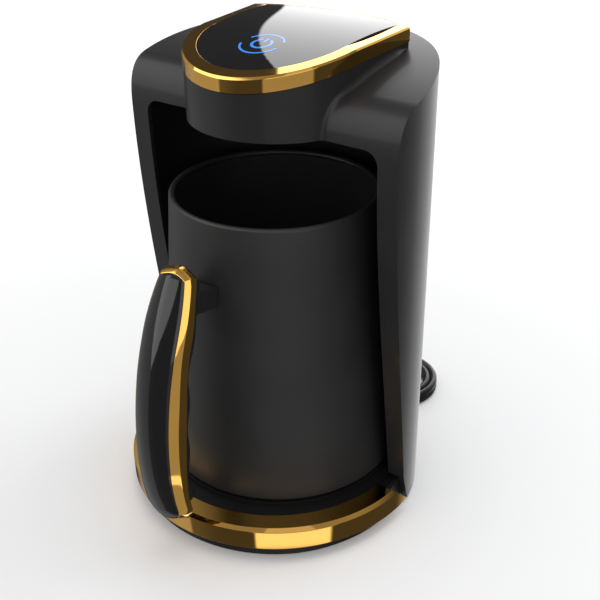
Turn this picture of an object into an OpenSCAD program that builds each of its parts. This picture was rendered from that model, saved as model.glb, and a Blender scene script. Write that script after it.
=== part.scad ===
// Electric Turkish coffee maker: a round body with an open bay, a pot with a free-ended handle,
// and a touch panel on top. The pot's axis is the reference for every place in the file.

/* [Body] */
// Outer radius of the round body
body_r = 67.8; // [67:0.2:70]
// How far the body's axis lies in front of the pot's axis
body_shift = 5.2; // [4.6:0.1:5.8]
// Wall of the body shell
body_wall = 2.4; // [2:0.1:2.6]
// Height of the body's lower edge above the table
body_foot_z = 2; // [1.5:0.1:3]
// How far the columns' faces reach in front of the pot's axis at the shoulder
face_reach = 13.4; // [12:0.2:15]
// How far the columns' faces lie behind the pot's axis at the base ring
face_setback = 2.6; // [1:0.2:4]
// How far the shoulder, where the front turns into the top, lies below the back's top
shoulder_drop = 8.5; // [8:0.1:9]
// Height of the body's top at the back
back_top_z = 200.6; // [199.8:0.1:201.2]
// Radius of the body's crowned top, seen from the side
body_crown_r = 250; // [240:5:270]

/* [Bay] */
// Thickness of the columns between the bay and the body's outside
column_t = 8.5; // [8:0.1:9]
// How far the bay's ceiling lies below the shoulder
ceiling_drop = 17.6; // [17:0.1:18.4]
// Rounding between the bay's wall and its ceiling
bay_round = 6; // [4:0.5:8]
// Wall of the bay's liner
liner_wall = 1.6; // [1.2:0.1:1.8]

/* [Head] */
// How much smaller the head's round nose is than the body, in radius
nose_step = 29.8; // [29:0.1:31]
// How far the nose's centre lies behind the pot's axis
nose_y = 4.2; // [3:0.1:5]
// How much wider the head is at its back corners than at the nose, on each side
head_flare = 1.3; // [1.1:0.1:2]
// Distance from the head's back edge to the body's back, at the middle
head_back_gap = 10.6; // [9.6:0.2:12]
// Radius of the head's curved back edge
head_back_r = 62; // [58:1:70]
// How far the panel's highest line lies above the body's top
panel_rise = 6.8; // [6.4:0.1:7.4]
// How far the panel's highest line lies behind the pot's axis
panel_crown_y = 29; // [26:0.5:32]
// Radius of the panel's crown, seen from the side
panel_crown_r = 227; // [215:1:240]
// Depth of the gold trim band
trim_h = 5.9; // [5:0.1:6.4]
// Width of the trim's rim round the nose and along the sides
trim_rim = 5.7; // [5:0.1:6.4]
// Width of the trim's rim along the back
trim_back_rim = 1.9; // [1.6:0.1:2.4]
// Thickness of the touch glass
glass_t = 2.6; // [2:0.1:3]
// How far the power key's centre lies in front of the pot's axis
key_reach = 6.2; // [4:0.1:8]
// Radius of the power key's round mark
key_r = 4; // [3.4:0.1:4.6]
// Radius of the two arcs round the power key
key_arc_r = 9.4; // [8.6:0.1:10.2]

/* [Base] */
// How far the gold ring stands out from the body, in radius
ring_step = 1.7; // [1.5:0.1:2.2]
// How far the base's axis lies in front of the pot's axis
ring_shift = 2.8; // [2.4:0.1:3.2]
// Height of the gold ring's lower edge above the table
ring_low_z = 6.9; // [6:0.1:7.6]
// Height of the gold ring's top face above the table
ring_top_z = 17.2; // [16.9:0.1:17.4]
// Wall of the gold ring's skirt
ring_wall = 2.7; // [2.4:0.1:3]
// Thickness of the gold ring's top flange
ring_flange_t = 2; // [1.6:0.1:2.2]
// Chamfer on the gold ring's upper edge
ring_chamfer = 1; // [0.6:0.1:1.2]
// Height of the base tray's underside above the table
tray_z = 1.2; // [1:0.1:1.4]
// Thickness of the base tray's floor
tray_floor_t = 2; // [1.6:0.1:2.2]
// Wall of the base tray
tray_wall = 2; // [1.6:0.1:2.2]
// Height of the bay floor above the table
deck_z = 16.6; // [16.4:0.1:16.8]
// Thickness of the bay floor
deck_t = 1.8; // [1.5:0.1:2]
// Radius of a rubber foot
foot_r = 6; // [5:0.5:7]
// Distance from the feet's middles to the gold ring's outside
foot_inset = 15.5; // [14.5:0.5:17]
// Radius of a base screw
base_screw_r = 1.5; // [1.4:0.1:1.7]
// Distance from the base screws to the gold ring's outside
screw_inset = 13.3; // [13:0.1:13.7]

/* [Heater] */
// How much smaller the heating plate is than the pot's foot, in radius
plate_step = 4.2; // [3.8:0.1:5]
// Thickness of the heating plate
plate_t = 4; // [3.6:0.1:4.2]
// How far the heating plate stands above the bay floor
plate_rise = 1; // [0.9:0.05:1.1]
// Distance from the heating element's loop to the plate's edge
element_inset = 17; // [16:0.5:19]
// Radius of the heating element's tube
element_tube_r = 3.2; // [2.8:0.1:3.3]
// Half of the angle left open at the heating element's back
element_gap_a = 16; // [12:1:22]
// Radius of the plate's three legs
plate_leg_r = 3.6; // [3.2:0.1:4]
// Distance from the plate's legs to its edge
plate_leg_inset = 7; // [6.5:0.5:8.5]
// Radius of the temperature sensor's cap
sensor_r = 7; // [6.6:0.1:7.4]
// Radius of the thermal fuse
fuse_r = 2; // [1.8:0.1:2.1]
// Length of the thermal fuse
fuse_l = 11; // [9:0.5:13]

/* [Pot] */
// Height of the pot from its foot to its rim
pot_h = 126; // [124:0.5:127.5]
// How much wider the pot's foot is than its rim, in radius
pot_taper = 9.2; // [8.4:0.1:10]
// Room between the pot's foot and the bay's wall
pot_room = 5.1; // [4.6:0.1:5.8]
// Wall of the pot
pot_wall = 2; // [1.6:0.1:2.3]
// Width of the pot's rounded lip
lip_w = 2.6; // [2.4:0.1:3]
// Thickness of the pot's floor
pot_floor_t = 2.4; // [2:0.1:3]
// Rounding of the pot's foot
pot_foot_round = 1.6; // [1:0.1:2]
// Distance from the disc set into the pot's underside to the pot's edge
pot_disc_inset = 5.2; // [4.6:0.1:7]
// Thickness of the disc set into the pot's underside
pot_disc_t = 2.6; // [2.2:0.1:3]

/* [Handle] */
// How far the handle's front stands out from the pot's foot
handle_out = 33.6; // [32:0.1:35]
// Half of the handle's width
handle_half_w = 9; // [8.6:0.1:9.6]
// Half of the handle's width at its narrow top
handle_top_half_w = 5.6; // [5:0.1:6.4]
// How far the handle's top lies below the pot's rim
handle_top_drop = 11.3; // [10:0.1:13]
// How far the handle's free lower end lies above the pot's foot
handle_low_rise = 1.5; // [1.1:0.1:3]
// Crown of the handle's glossy front
handle_crown = 2.6; // [2:0.1:3.2]
// Depth of the gold band on the handle's sides
handle_band_w = 9.4; // [8.8:0.1:10]
// Swell of the gold band at the middle of the handle
handle_swell = 2.2; // [1.4:0.1:2.8]
// Thickness of the gold band round the handle
band_t = 1.5; // [1.2:0.1:1.8]
// How far the grip stands proud of the gold band at the back
grip_proud = 2.4; // [2:0.1:3]
// Depth of the grip's finger waves
finger_wave = 0.7; // [0.4:0.1:1]
// Width of the arm between the pot and the handle
arm_w = 13; // [12:0.2:14]
// How far the arm's middle lies below the pot's rim
arm_drop = 32.5; // [32:0.1:34]
// Thickness of the arm at the pot
arm_t = 7.4; // [6.4:0.1:8]
// Radius of a handle screw
handle_screw_r = 1.5; // [1.4:0.1:1.6]

/* [Electronics] */
// How much smaller the power board's width is than the body's radius
board_step = 3.8; // [3:0.2:10]
// Depth of the power board
board_d = 34; // [30:1:35]
// Thickness of both boards
board_t = 1.6; // [1.2:0.1:1.6]
// Height of the power board above the bay's ceiling
board_rise = 7.4; // [6.6:0.1:8]
// Distance from the power board's middle to the body's back
board_back_gap = 32.6; // [32:0.2:34]
// Distance from the touch board's sides to the nose's outside
touch_board_inset = 15; // [14:0.5:17]
// How much smaller the touch board's depth is than the nose's radius
touch_board_step = 8; // [6:0.5:10]
// Height of the touch board above the bay's ceiling
touch_board_rise = 14.6; // [13:0.1:15]
// Radius of the light guide under the power key
guide_r = 12; // [11.5:0.1:12.5]
// Radius of the boil sensor's lens
lens_r = 5; // [4:0.1:6]
// Distance from the boil sensor's lens to the nose's front
lens_inset = 17.8; // [16:0.2:19.8]
// Diameter of a lead inside the body
lead_d = 1.4; // [1.2:0.1:1.5]

/* [Cord] */
// Diameter of the mains cord
cord_d = 3.6; // [3.4:0.1:3.8]
// Radius of the coil at the middle of its turns
coil_turn_r = 20; // [19.5:0.1:20.5]
// Width of the cord tie
tie_w = 6; // [4:0.5:8]
// Thickness of the cord tie
tie_t = 0.8; // [0.6:0.1:1]
// Length of the tapered strain relief outside the body
relief_l = 22; // [20:1:24]
// Radius of the strain relief where it leaves the body
relief_r = 4; // [3.6:0.1:4.2]
// Length of the plug's body
plug_l = 36; // [34:1:38]
// Width of the plug's body
plug_w = 35.4; // [34:0.2:36]
// Thickness of the plug's body
plug_t = 13.8; // [13:0.2:15]
// Distance between the plug's pins
pin_pitch = 19; // [18.5:0.1:19.5]
// Diameter of a plug pin
pin_d = 4; // [3.9:0.1:4.1]
// Length of a plug pin outside the plug's body
pin_l = 19; // [18:0.5:20]

/* [Hidden] */

$fn = 96;
fine = 32;
// Room left between two pieces that sit on or in each other
fit = 0.3;
// Room left where a thin trim lies on its carrier
seam = 0.15;
// Extra length of a cut past the piece that it cuts
cut = 1;

bay_r = body_r - column_t;
ring_r = body_r + ring_step;
nose_r = body_r - nose_step;
head_half_w = nose_r + head_flare;
pot_foot_r = bay_r - pot_room;
rim_r = pot_foot_r - pot_taper;
pot_disc_r = pot_foot_r - pot_disc_inset;
plate_r = pot_foot_r - plate_step;
plate_leg_ring_r = plate_r - plate_leg_inset;
element_r = plate_r - element_inset;
foot_ring_r = ring_r - foot_inset;
screw_ring_r = ring_r - screw_inset;
back_reach = body_r - body_shift;
handle_reach = pot_foot_r + handle_out;
axis_y = (handle_reach - back_reach) / 2;
head_back_y = back_reach - head_back_gap;
board_w = body_r - board_step;
touch_board_w = 2 * (nose_r - touch_board_inset);
touch_board_d = nose_r - touch_board_step;
lens_reach = nose_r - nose_y - lens_inset;
board_y = back_reach - board_back_gap;
shoulder_z = back_top_z - shoulder_drop;
bay_top_z = shoulder_z - ceiling_drop;
panel_top_z = back_top_z + panel_rise;
tray_inset = ring_wall + 0.4;
tray_top_z = ring_top_z - ring_flange_t - fit;
tray_floor_z = tray_z + tray_floor_t;
deck_low_z = deck_z - deck_t;
deck_flange_t = 1.8;
plate_top_z = deck_z + plate_rise;
plate_low_z = plate_top_z - plate_t;
pot_z = plate_top_z + fit;
rim_z = pot_z + pot_h;
handle_top_z = rim_z - handle_top_drop;
handle_low_z = pot_z + handle_low_rise;
arm_z = rim_z - arm_drop;
shell_in_r = body_r - body_wall;
liner_out_r = bay_r + liner_wall;
ceiling_t = 1.8;
ceiling_z = bay_top_z + seam;
ceiling_top_z = ceiling_z + ceiling_t;
head_back_cy = head_back_y - head_back_r;
corner_y = head_back_cy + sqrt(head_back_r * head_back_r - head_half_w * head_half_w);
body_crown_y = back_reach + 1.2;
touch_board_z = bay_top_z + touch_board_rise;
power_board_z = bay_top_z + board_rise;

// ---- curves ----

function bezier(p0, p1, p2, p3, n) = [
    for (i = [0 : n]) let (t = i / n, s = 1 - t)
        s * s * s * p0 + 3 * s * s * t * p1 + 3 * s * t * t * p2 + t * t * t * p3
];
function unit(v) = v / norm(v);
function side_normal(path, i) =
    let (a = path[max(i - 1, 0)], b = path[min(i + 1, len(path) - 1)], d = unit(b - a))
        [d[1], -d[0]];
// A path moved sideways by d, to the right of the way it runs
function inset(path, d) = [for (i = [0 : len(path) - 1]) path[i] + d * side_normal(path, i)];

// The front line of the body, from its foot to the back top, as [y, z] seen from the side
function foot_line() = [[face_setback + 5.3, body_foot_z]];
function face_line() = bezier(
    [face_setback, ring_top_z - 0.8], [-face_reach + 8.4, ring_top_z + 52.8],
    [-face_reach, shoulder_z - 67.1], [-face_reach, shoulder_z - 20.1], 12);
function shoulder_line() = bezier(
    [-face_reach, shoulder_z - 20.1], [-face_reach, shoulder_z - 8.1],
    [-face_reach + 1.9, shoulder_z - 1.9], [-face_reach + 11.4, shoulder_z], 10);
function front_line() = concat(foot_line(), face_line(),
    [for (i = [1 : 10]) shoulder_line()[i]]);
// The edge between the handle's front and its sides, as [y, z] seen from the side
shell_edge_t = 0.3;
edge_y = -handle_reach + handle_crown + shell_edge_t;
handle_bow_z = handle_low_z + 60;
function handle_edge_line() = concat(
    bezier([edge_y + 5.6, handle_low_z - cut], [edge_y - 1, handle_low_z + 14],
        [edge_y - 1.4, handle_bow_z - 22], [edge_y + 2.6, handle_bow_z], 10),
    [for (i = [1 : 10]) bezier([edge_y + 2.6, handle_bow_z], [edge_y + 6, handle_bow_z + 19],
        [edge_y + 12.4, handle_top_z - 21.2], [edge_y + 20.4, handle_top_z - 3.2], 10)[i]],
    [[edge_y + 22.6, handle_top_z + 1.8]]);
handle_edge = handle_edge_line();
edge_table = [for (p = handle_edge) [p[1], p[0]]];
// Point of the handle at height z along its edge line, set back by d square to the line
function edge_normal(z) =
    unit([2, lookup(z - 1, edge_table) - lookup(z + 1, edge_table)]);
function handle_at(z, d) = [lookup(z, edge_table), z] + d * edge_normal(z);
// Depth of the gold bands along the handle
function band_depth(z) = handle_band_w
    + handle_swell * pow(sin(180 * min(max((z - handle_low_z - 6) / 82, 0), 1)), 2);
// Line at the depth of the gold bands plus d, waved by wave, up the whole handle
function band_back_line(d, wave) = [
    for (p = handle_edge) handle_at(p[1], band_depth(p[1]) + d
        + wave * sin((p[1] - handle_low_z) * 360 / finger_pitch))
];
finger_pitch = 26;
function edge_line_at(d) = [for (p = handle_edge) handle_at(p[1], d)];
// Right half of the handle's outline seen from the front, as [x, z], moved in by d
function half_outline() = let (w = handle_half_w, t = handle_top_half_w, top = handle_top_z) concat(
    [for (a = [-90 : 10 : 0]) [w * cos(a), handle_low_z + w + w * sin(a)]],
    bezier([w, top - 27], [w, top - 17], [t + 1.3, top - 9], [t, top - 3.4], 6),
    [[t - 0.9, top - 2.6], [0, top]]);
function half_outline_in(d) = let (p = inset(half_outline(), -d), n = len(p) - 1) concat(
    [[0, handle_low_z + d]], [for (i = [1 : n - 1]) p[i]], [[0, handle_top_z - 1.1 * d]]);
function mirrored(path) = [for (i = [len(path) - 1 : -1 : 0]) [-path[i][0], path[i][1]]];

module at_pot() {
    translate([0, axis_y, 0]) children();
}

// A shape drawn as [y, z] and pushed out along X, centred
module side_extrude(width) {
    rotate([90, 0, 90]) linear_extrude(width, center = true) children();
}

// Everything below a crown that runs along X, lowered by depth
module under_crown(top_z, crown_y, radius, depth) {
    side_extrude(4 * body_r) intersection() {
        translate([crown_y, top_z - radius]) circle(radius - depth, $fn = 360);
        translate([-2 * body_r, 0]) square([4 * body_r, top_z]);
    }
}
module under_panel(depth) {
    under_crown(panel_top_z, panel_crown_y, panel_crown_r, depth);
}
module under_body_top(depth) {
    under_crown(back_top_z, body_crown_y, body_crown_r, depth);
}

// The block behind the body's front line, moved in by d
module behind_front(d) {
    path = inset(front_line(), d);
    last = path[len(path) - 1];
    side_extrude(4 * body_r) polygon(concat(
        [[2 * body_r, path[0][1] - cut * 5], [path[0][0], path[0][1] - cut * 5]], path,
        [[last[0] + 20, 2 * back_top_z], [2 * body_r, 2 * back_top_z]]));
}

// The base's outline, moved in by d from the ring's face and from the body's wall
module base_outline(d) {
    intersection() {
        translate([0, -ring_shift]) circle(ring_r - d, $fn = 180);
        translate([0, -body_shift]) circle(body_r - d, $fn = 180);
    }
}

// An upright block with the head's outline, moved in by d and by d_back at the back.
// Its straight sides leave the round nose where they touch it.
module head_block(d, d_back, z_low, z_high) {
    r = nose_r - d;
    w = head_half_w - d;
    far = norm([w, corner_y - nose_y]);
    touch_a = atan2(corner_y - nose_y, w) - acos(r / far);
    touch = (r - 0.06) * [cos(touch_a), sin(touch_a)] + [0, nose_y];
    flare = (w - touch[0]) / (corner_y - touch[1]);
    h = z_high - z_low;
    intersection() {
        union() {
            translate([0, nose_y, z_low]) cylinder(h = h, r = r, $fn = 180);
            translate([0, 0, z_low]) linear_extrude(h) polygon([
                [-touch[0], touch[1]], [-w - 20 * flare, corner_y + 20],
                [w + 20 * flare, corner_y + 20], touch
            ]);
        }
        translate([0, head_back_cy, z_low - cut])
            cylinder(h = h + 2 * cut, r = head_back_r - d_back, $fn = 180);
    }
}
head_high_z = panel_top_z + cut;

// The bay as a solid, made larger by d
module bay_space(d, z_low) {
    r = bay_r + d;
    q = bay_round;
    translate([0, -ring_shift, 0]) rotate_extrude($fn = 180) {
        difference() {
            translate([0, z_low]) square([r, bay_top_z + d - z_low]);
            translate([r - q, bay_top_z + d - q]) difference() {
                square([q + cut, q + cut]);
                circle(q, $fn = 48);
            }
        }
    }
}

// Distance from the base's axis to the middle of the gap behind the liner, at angle a
lead_gap_r = 0.5 * (liner_out_r + shell_in_r - (body_shift - ring_shift));

// ---- body ----

// Round outer moulding: two columns, the shoulder, the nose and the back
module body_shell() {
    color("#232324") at_pot() difference() {
        union() {
            intersection() {
                translate([0, -body_shift, body_foot_z])
                    cylinder(h = back_top_z, r = body_r, $fn = 180);
                behind_front(0);
                under_body_top(0);
            }
            intersection() {
                head_block(0, 0, bay_top_z, head_high_z);
                under_panel(trim_h);
            }
        }
        // hollow of the columns, the back and the shoulder
        intersection() {
            translate([0, -body_shift, body_foot_z - cut])
                cylinder(h = back_top_z, r = shell_in_r, $fn = 180);
            behind_front(body_wall);
            under_body_top(body_wall);
        }
        // hollow of the nose, open to the panel above and to the bay below
        head_block(body_wall, body_wall, bay_top_z - cut, head_high_z + cut);
        // mouth of the bay
        bay_space(0, body_foot_z - cut);
        // room for the base under the columns
        linear_extrude(deck_z + fit) base_outline(tray_inset - fit);
        relief_hole(relief_r + fit);
    }
}

// Hole for the strain relief through the back of the body and the tray
module relief_hole(r) {
    translate([relief_x, relief_in_y - cut, relief_z]) rotate([-90, 0, 0])
        cylinder(h = relief_out_y - relief_in_y + 2 * cut, r = r, $fn = 48);
}

// Round wall of the bay, standing on the bay floor
module bay_liner() {
    color("#161617") at_pot() difference() {
        intersection() {
            bay_space(liner_wall, deck_low_z + fit);
            behind_front(body_wall + fit);
        }
        bay_space(0, deck_low_z);
        // opening under the head, closed by the underside panel
        translate([0, -ring_shift, bay_top_z - cut])
            cylinder(h = liner_wall + 2 * cut, r = bay_r - bay_round, $fn = 180);
    }
}

// Flat panel that closes the head from below
module head_underside() {
    color("#1a1a1b") at_pot() {
        difference() {
            union() {
                intersection() {
                    head_block(body_wall + fit, body_wall + fit, ceiling_z, ceiling_top_z);
                    translate([-body_r, -body_r, ceiling_z - cut])
                        cube([2 * body_r, body_r + nose_y, ceiling_t + 2 * cut]);
                }
                translate([0, -ring_shift, ceiling_z])
                    cylinder(h = ceiling_t, r = bay_r - bay_round - fit, $fn = 180);
            }
            translate([0, -lens_reach, ceiling_z - cut])
                cylinder(h = ceiling_t + 2 * cut, r = lens_r + fit, $fn = 48);
            // room behind the shoulder's own wall
            front_wall_band();
        }
        for (x = [-1, 1], y = [-1, 1]) {
            translate([x * board_post_x, board_y + y * board_post_y, ceiling_top_z])
                post(power_board_z - ceiling_top_z, 2.6, 1);
            translate([x * touch_post_x, touch_y + y * touch_post_y, ceiling_top_z])
                post(touch_board_z - ceiling_top_z, 2.2, 0.8);
        }
    }
}
board_post_x = board_w / 2 - 4;
board_post_y = board_d / 2 - 4;
touch_post_x = touch_board_w / 2 - 4;
touch_post_y = touch_board_d / 2 - 3;
touch_y = -key_reach;

// Hollow post that a board is screwed to
module post(h, r, hole_r) {
    difference() {
        cylinder(h = h, r = r, $fn = fine);
        translate([0, 0, h - 5]) cylinder(h = 5 + cut, r = hole_r, $fn = fine);
    }
}

// The strip of the body's own front wall above the bay
module front_wall_band() {
    difference() {
        translate([-body_r, -body_r, bay_top_z - cut])
            cube([2 * body_r, 2 * body_r, ceiling_t + 3 * cut]);
        behind_front(body_wall + fit);
        head_block(body_wall + fit, body_wall + fit, bay_top_z - 2 * cut,
            ceiling_top_z + 3 * cut);
    }
}

// ---- touch panel ----

// Gold frame round the touch glass, with a ledge that carries the glass
trim_proud = 0.3;
ledge_w = 2;
module panel_trim() {
    color("#e0a53a") at_pot() difference() {
        intersection() {
            head_block(-trim_proud, -trim_proud, bay_top_z, head_high_z);
            under_panel(0);
        }
        under_panel(trim_h - seam);
        head_block(trim_rim + ledge_w, trim_back_rim + ledge_w, bay_top_z - cut, head_high_z + cut);
        difference() {
            head_block(trim_rim, trim_back_rim, bay_top_z - cut, head_high_z + cut);
            under_panel(glass_t + 2 * seam);
        }
    }
}

// Glass cover that the finger taps
module touch_glass() {
    color("#0c0c0e") at_pot() difference() {
        intersection() {
            head_block(trim_rim + seam, trim_back_rim + seam, bay_top_z, head_high_z);
            under_panel(seam);
        }
        under_panel(glass_t + seam);
    }
}

// Lit mark of the power key: a round mark with a bar, and two arcs
module power_key_mark() {
    color("#3aa0ff") at_pot() intersection() {
        translate([0, -key_reach, bay_top_z]) linear_extrude(panel_top_z) {
            arc_band(key_r, 1.1, 125, 415);
            translate([-0.55, 1.4]) square([1.1, 3.2]);
            arc_band(key_arc_r, 1, 150, 290);
            arc_band(key_arc_r, 1, -30, 110);
        }
        difference() {
            under_panel(0);
            under_panel(seam);
        }
    }
}

// Flat band of a ring between two angles
module arc_band(r, w, a0, a1) {
    steps = 14;
    a = [for (i = [0 : steps]) a0 + (a1 - a0) * i / steps];
    polygon(concat(
        [for (t = a) (r + w / 2) * [cos(t), sin(t)]],
        [for (i = [steps : -1 : 0]) (r - w / 2) * [cos(a[i]), sin(a[i])]]));
}

// Clear ring that carries the light from the touch board up to the glass
guide_wall = 1.6;
module light_guide() {
    color("#d8e4ee") at_pot() intersection() {
        translate([0, touch_y, touch_board_z + board_t]) difference() {
            cylinder(h = panel_top_z - touch_board_z, r = guide_r, $fn = 64);
            translate([0, 0, -cut])
                cylinder(h = panel_top_z - touch_board_z + 2 * cut, r = guide_r - guide_wall, $fn = 64);
        }
        under_panel(glass_t + 2 * seam);
    }
}

// Board with the touch key and its lamps
module touch_board() {
    color("#1f6b3a") at_pot() difference() {
        translate([-touch_board_w / 2, touch_y - touch_board_d / 2, touch_board_z])
            cube([touch_board_w, touch_board_d, board_t]);
        for (x = [-1, 1], y = [-1, 1])
            translate([x * touch_post_x, touch_y + y * touch_post_y, touch_board_z - cut])
                cylinder(h = board_t + 2 * cut, r = 1.1, $fn = fine);
    }
}

// Pan-head screw with its head's underside at z = 0
module pan_screw(r, l) {
    translate([0, 0, -l]) cylinder(h = l, r = r, $fn = fine);
    cylinder(h = 1.2 * r, r = 2 * r, $fn = fine);
}

module touch_board_screws() {
    color("#b9bcc0") at_pot() for (x = [-1, 1], y = [-1, 1])
        translate([x * touch_post_x, touch_y + y * touch_post_y, touch_board_z + board_t])
            pan_screw(0.75, board_t + 4);
}

// Dark window in the head's underside that the boil sensor looks through
module boil_sensor_lens() {
    color("#3a0f12") at_pot() translate([0, -lens_reach, bay_top_z + seam]) {
        cylinder(h = ceiling_t, r = lens_r, $fn = 48);
        translate([0, 0, ceiling_t]) cylinder(h = 1, r = lens_r + 1.2, $fn = 48);
    }
}

// Holder of the boil sensor's lamp and eye, over the lens
module boil_sensor_holder() {
    color("#2c2c2e") at_pot() translate([0, -lens_reach, ceiling_top_z + seam + 1])
        difference() {
            cylinder(h = 6, r = lens_r + 1.2, $fn = 48);
            for (x = [-1, 1]) translate([x * lens_r / 2, 0, -cut])
                cylinder(h = 6, r = 1.5, $fn = fine);
        }
}

// ---- electronics ----

module power_board() {
    color("#1f6b3a") at_pot() difference() {
        translate([-board_w / 2, board_y - board_d / 2, power_board_z])
            cube([board_w, board_d, board_t]);
        for (x = [-1, 1], y = [-1, 1])
            translate([x * board_post_x, board_y + y * board_post_y, power_board_z - cut])
                cylinder(h = board_t + 2 * cut, r = 1.3, $fn = fine);
    }
}

module power_board_screws() {
    color("#b9bcc0") at_pot() for (x = [-1, 1], y = [-1, 1])
        translate([x * board_post_x, board_y + y * board_post_y, power_board_z + board_t])
            pan_screw(0.95, board_t + 4);
}

board_top_z = power_board_z + board_t;

relay_size = [18, 14, 8.5];
module relay() {
    color("#1c3f78") at_pot() translate([6, board_y - relay_size[1] / 2, board_top_z])
        cube(relay_size);
}

capacitor_r = 4;
module capacitor() {
    color("#3a3f48") at_pot() translate([-5, board_y + 3, board_top_z])
        cylinder(h = 2 * capacitor_r, r = capacitor_r, $fn = 48);
}

buzzer_r = 5.5;
buzzer_h = 6;
module buzzer() {
    color("#111112") at_pot() translate([-20, board_y - 5, board_top_z]) difference() {
        cylinder(h = buzzer_h, r = buzzer_r, $fn = 48);
        translate([0, 0, buzzer_h - 2]) cylinder(h = 3, r = 1, $fn = fine);
    }
}

// Socket on the power board that the leads plug into
lead_xs = [-17, -13, -9];
connector_d = 7;
connector_y = board_y + board_d / 2 - connector_d - 2;
module lead_connector() {
    color("#e8e6de") at_pot() translate([lead_xs[0] - 2.5, connector_y, board_top_z])
        cube([lead_xs[2] - lead_xs[0] + 5, connector_d, 6]);
}

// A straight run of a lead between two points
module lead_run(p, q) {
    d = q - p;
    translate(p) rotate([0, acos(d[2] / norm(d)), atan2(d[1], d[0])])
        cylinder(h = norm(d), d = lead_d, $fn = 24);
}
module lead(points) {
    for (i = [0 : len(points) - 2]) lead_run(points[i], points[i + 1]);
    for (i = [1 : len(points) - 2]) translate(points[i]) sphere(d = lead_d, $fn = 24);
}

// Three leads from the terminal block up behind the liner to the power board
lead_low_z = tray_floor_z + 5;
lead_top_z = board_top_z + 3;
function lead_y(x) = -ring_shift + sqrt(lead_gap_r * lead_gap_r - x * x);
module wiring_leads() {
    colors = ["#7a4a25", "#2f6fc4", "#c8b32f"];
    at_pot() for (i = [0 : 2]) color(colors[i]) {
        x = lead_xs[i];
        lead([
            [x, terminal_y + terminal_d / 2 + fit, lead_low_z], [x, lead_y(x), lead_low_z],
            [x, lead_y(x), lead_top_z], [x, connector_y + connector_d + fit, lead_top_z]
        ]);
    }
}

terminal_y = back_reach - 14.6;
terminal_d = 10;
module terminal_block() {
    color("#efeee8") at_pot() difference() {
        translate([lead_xs[0] - 4, terminal_y - terminal_d / 2, tray_floor_z])
            cube([lead_xs[2] - lead_xs[0] + 8, terminal_d, 8.6]);
        for (x = lead_xs) translate([x, terminal_y, tray_floor_z + 5])
            cylinder(h = 5, r = 1.2, $fn = fine);
    }
}

// ---- base ----

module lead_notch() {
    translate([lead_xs[0] - 2, terminal_y + terminal_d / 2, lead_low_z - 2])
        cube([lead_xs[2] - lead_xs[0] + 4, 20, 20]);
}

screw_angles = [0, 90, 180, 270];
foot_angles = [45, 135, 225, 315];
module round_base(radius, angles) {
    for (a = angles) translate([radius * cos(a), radius * sin(a) - ring_shift, 0]) children();
}

// Bottom moulding of the base
slot_pitch = 6;
slot_w = 2;
slot_l = 28;
module base_tray() {
    color("#1c1c1d") at_pot() difference() {
        union() {
            translate([0, 0, tray_z]) linear_extrude(tray_floor_t) base_outline(tray_inset);
            translate([0, 0, tray_z]) linear_extrude(tray_top_z - tray_z) difference() {
                base_outline(tray_inset);
                base_outline(tray_inset + tray_wall);
            }
            intersection() {
                translate([0, 0, tray_z]) linear_extrude(tray_floor_t) base_outline(tray_inset);
                round_base(foot_ring_r, foot_angles) cylinder(h = tray_floor_z, r = foot_r + 2);
            }
        }
        round_base(foot_ring_r, foot_angles) translate([0, 0, -cut])
            cylinder(h = tray_floor_z + 2 * cut, r = 2.3, $fn = fine);
        round_base(screw_ring_r, screw_angles) {
            translate([0, 0, -cut]) cylinder(h = 20, r = base_screw_r + fit, $fn = fine);
            translate([0, 0, -cut])
                cylinder(h = tray_z + screw_sink + cut, r = 2 * base_screw_r + fit, $fn = fine);
        }
        for (a = leg_angles) plate_leg_at(a) {
            translate([0, 0, -cut]) cylinder(h = 20, r = 1.8, $fn = fine);
            translate([0, 0, -cut])
                cylinder(h = tray_z + screw_sink + cut, r = 3 + fit, $fn = fine);
        }
        // air slots under the heater
        for (i = [-3 : 3]) translate([i * slot_pitch - slot_w / 2, -slot_l / 2, tray_z - cut])
            cube([slot_w, slot_l, tray_floor_t + 2 * cut]);
        relief_hole(relief_r + fit);
        lead_notch();
    }
}

// Gold ring round the front of the base
module base_ring() {
    color("#e0a53a") at_pot() difference() {
        translate([0, -ring_shift, 0]) rotate_extrude($fn = 180) polygon([
            [ring_r - ring_wall, ring_low_z], [ring_r, ring_low_z],
            [ring_r, ring_top_z - ring_chamfer], [ring_r - ring_chamfer, ring_top_z],
            [bay_r + fit, ring_top_z], [bay_r + fit, ring_top_z - ring_flange_t],
            [ring_r - ring_wall, ring_top_z - ring_flange_t]
        ]);
        behind_front(-fit);
    }
}

// Floor of the bay, with the legs that the base screws hold
module bay_floor() {
    color("#19191a") at_pot() difference() {
        union() {
            intersection() {
                translate([0, 0, deck_low_z - deck_flange_t]) linear_extrude(deck_flange_t)
                    base_outline(tray_inset + tray_wall + fit);
                translate([0, -ring_shift, 0]) cylinder(h = deck_z, r = ring_r);
            }
            translate([0, -ring_shift, deck_low_z - cut])
                cylinder(h = deck_t + cut, r = bay_r - fit, $fn = 180);
            round_base(screw_ring_r, screw_angles) translate([0, 0, tray_floor_z + fit])
                cylinder(h = deck_low_z - tray_floor_z - fit, r = 3.4, $fn = fine);
        }
        round_base(screw_ring_r, screw_angles) translate([0, 0, tray_floor_z])
            cylinder(h = 8, r = base_screw_r - 0.2, $fn = fine);
        translate([0, 0, -cut]) cylinder(h = deck_z + 2 * cut, r = plate_r + 2, $fn = 120);
        lead_notch();
    }
}

// Rubber seal between the heating plate and the bay floor
module plate_seal() {
    color("#0d0d0e") at_pot() rotate_extrude($fn = 120) union() {
        translate([plate_r + fit, plate_low_z]) square([1.4, deck_z - plate_low_z + 0.5]);
        translate([plate_r + fit, deck_z]) square([3.4, 0.5]);
    }
}

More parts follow.
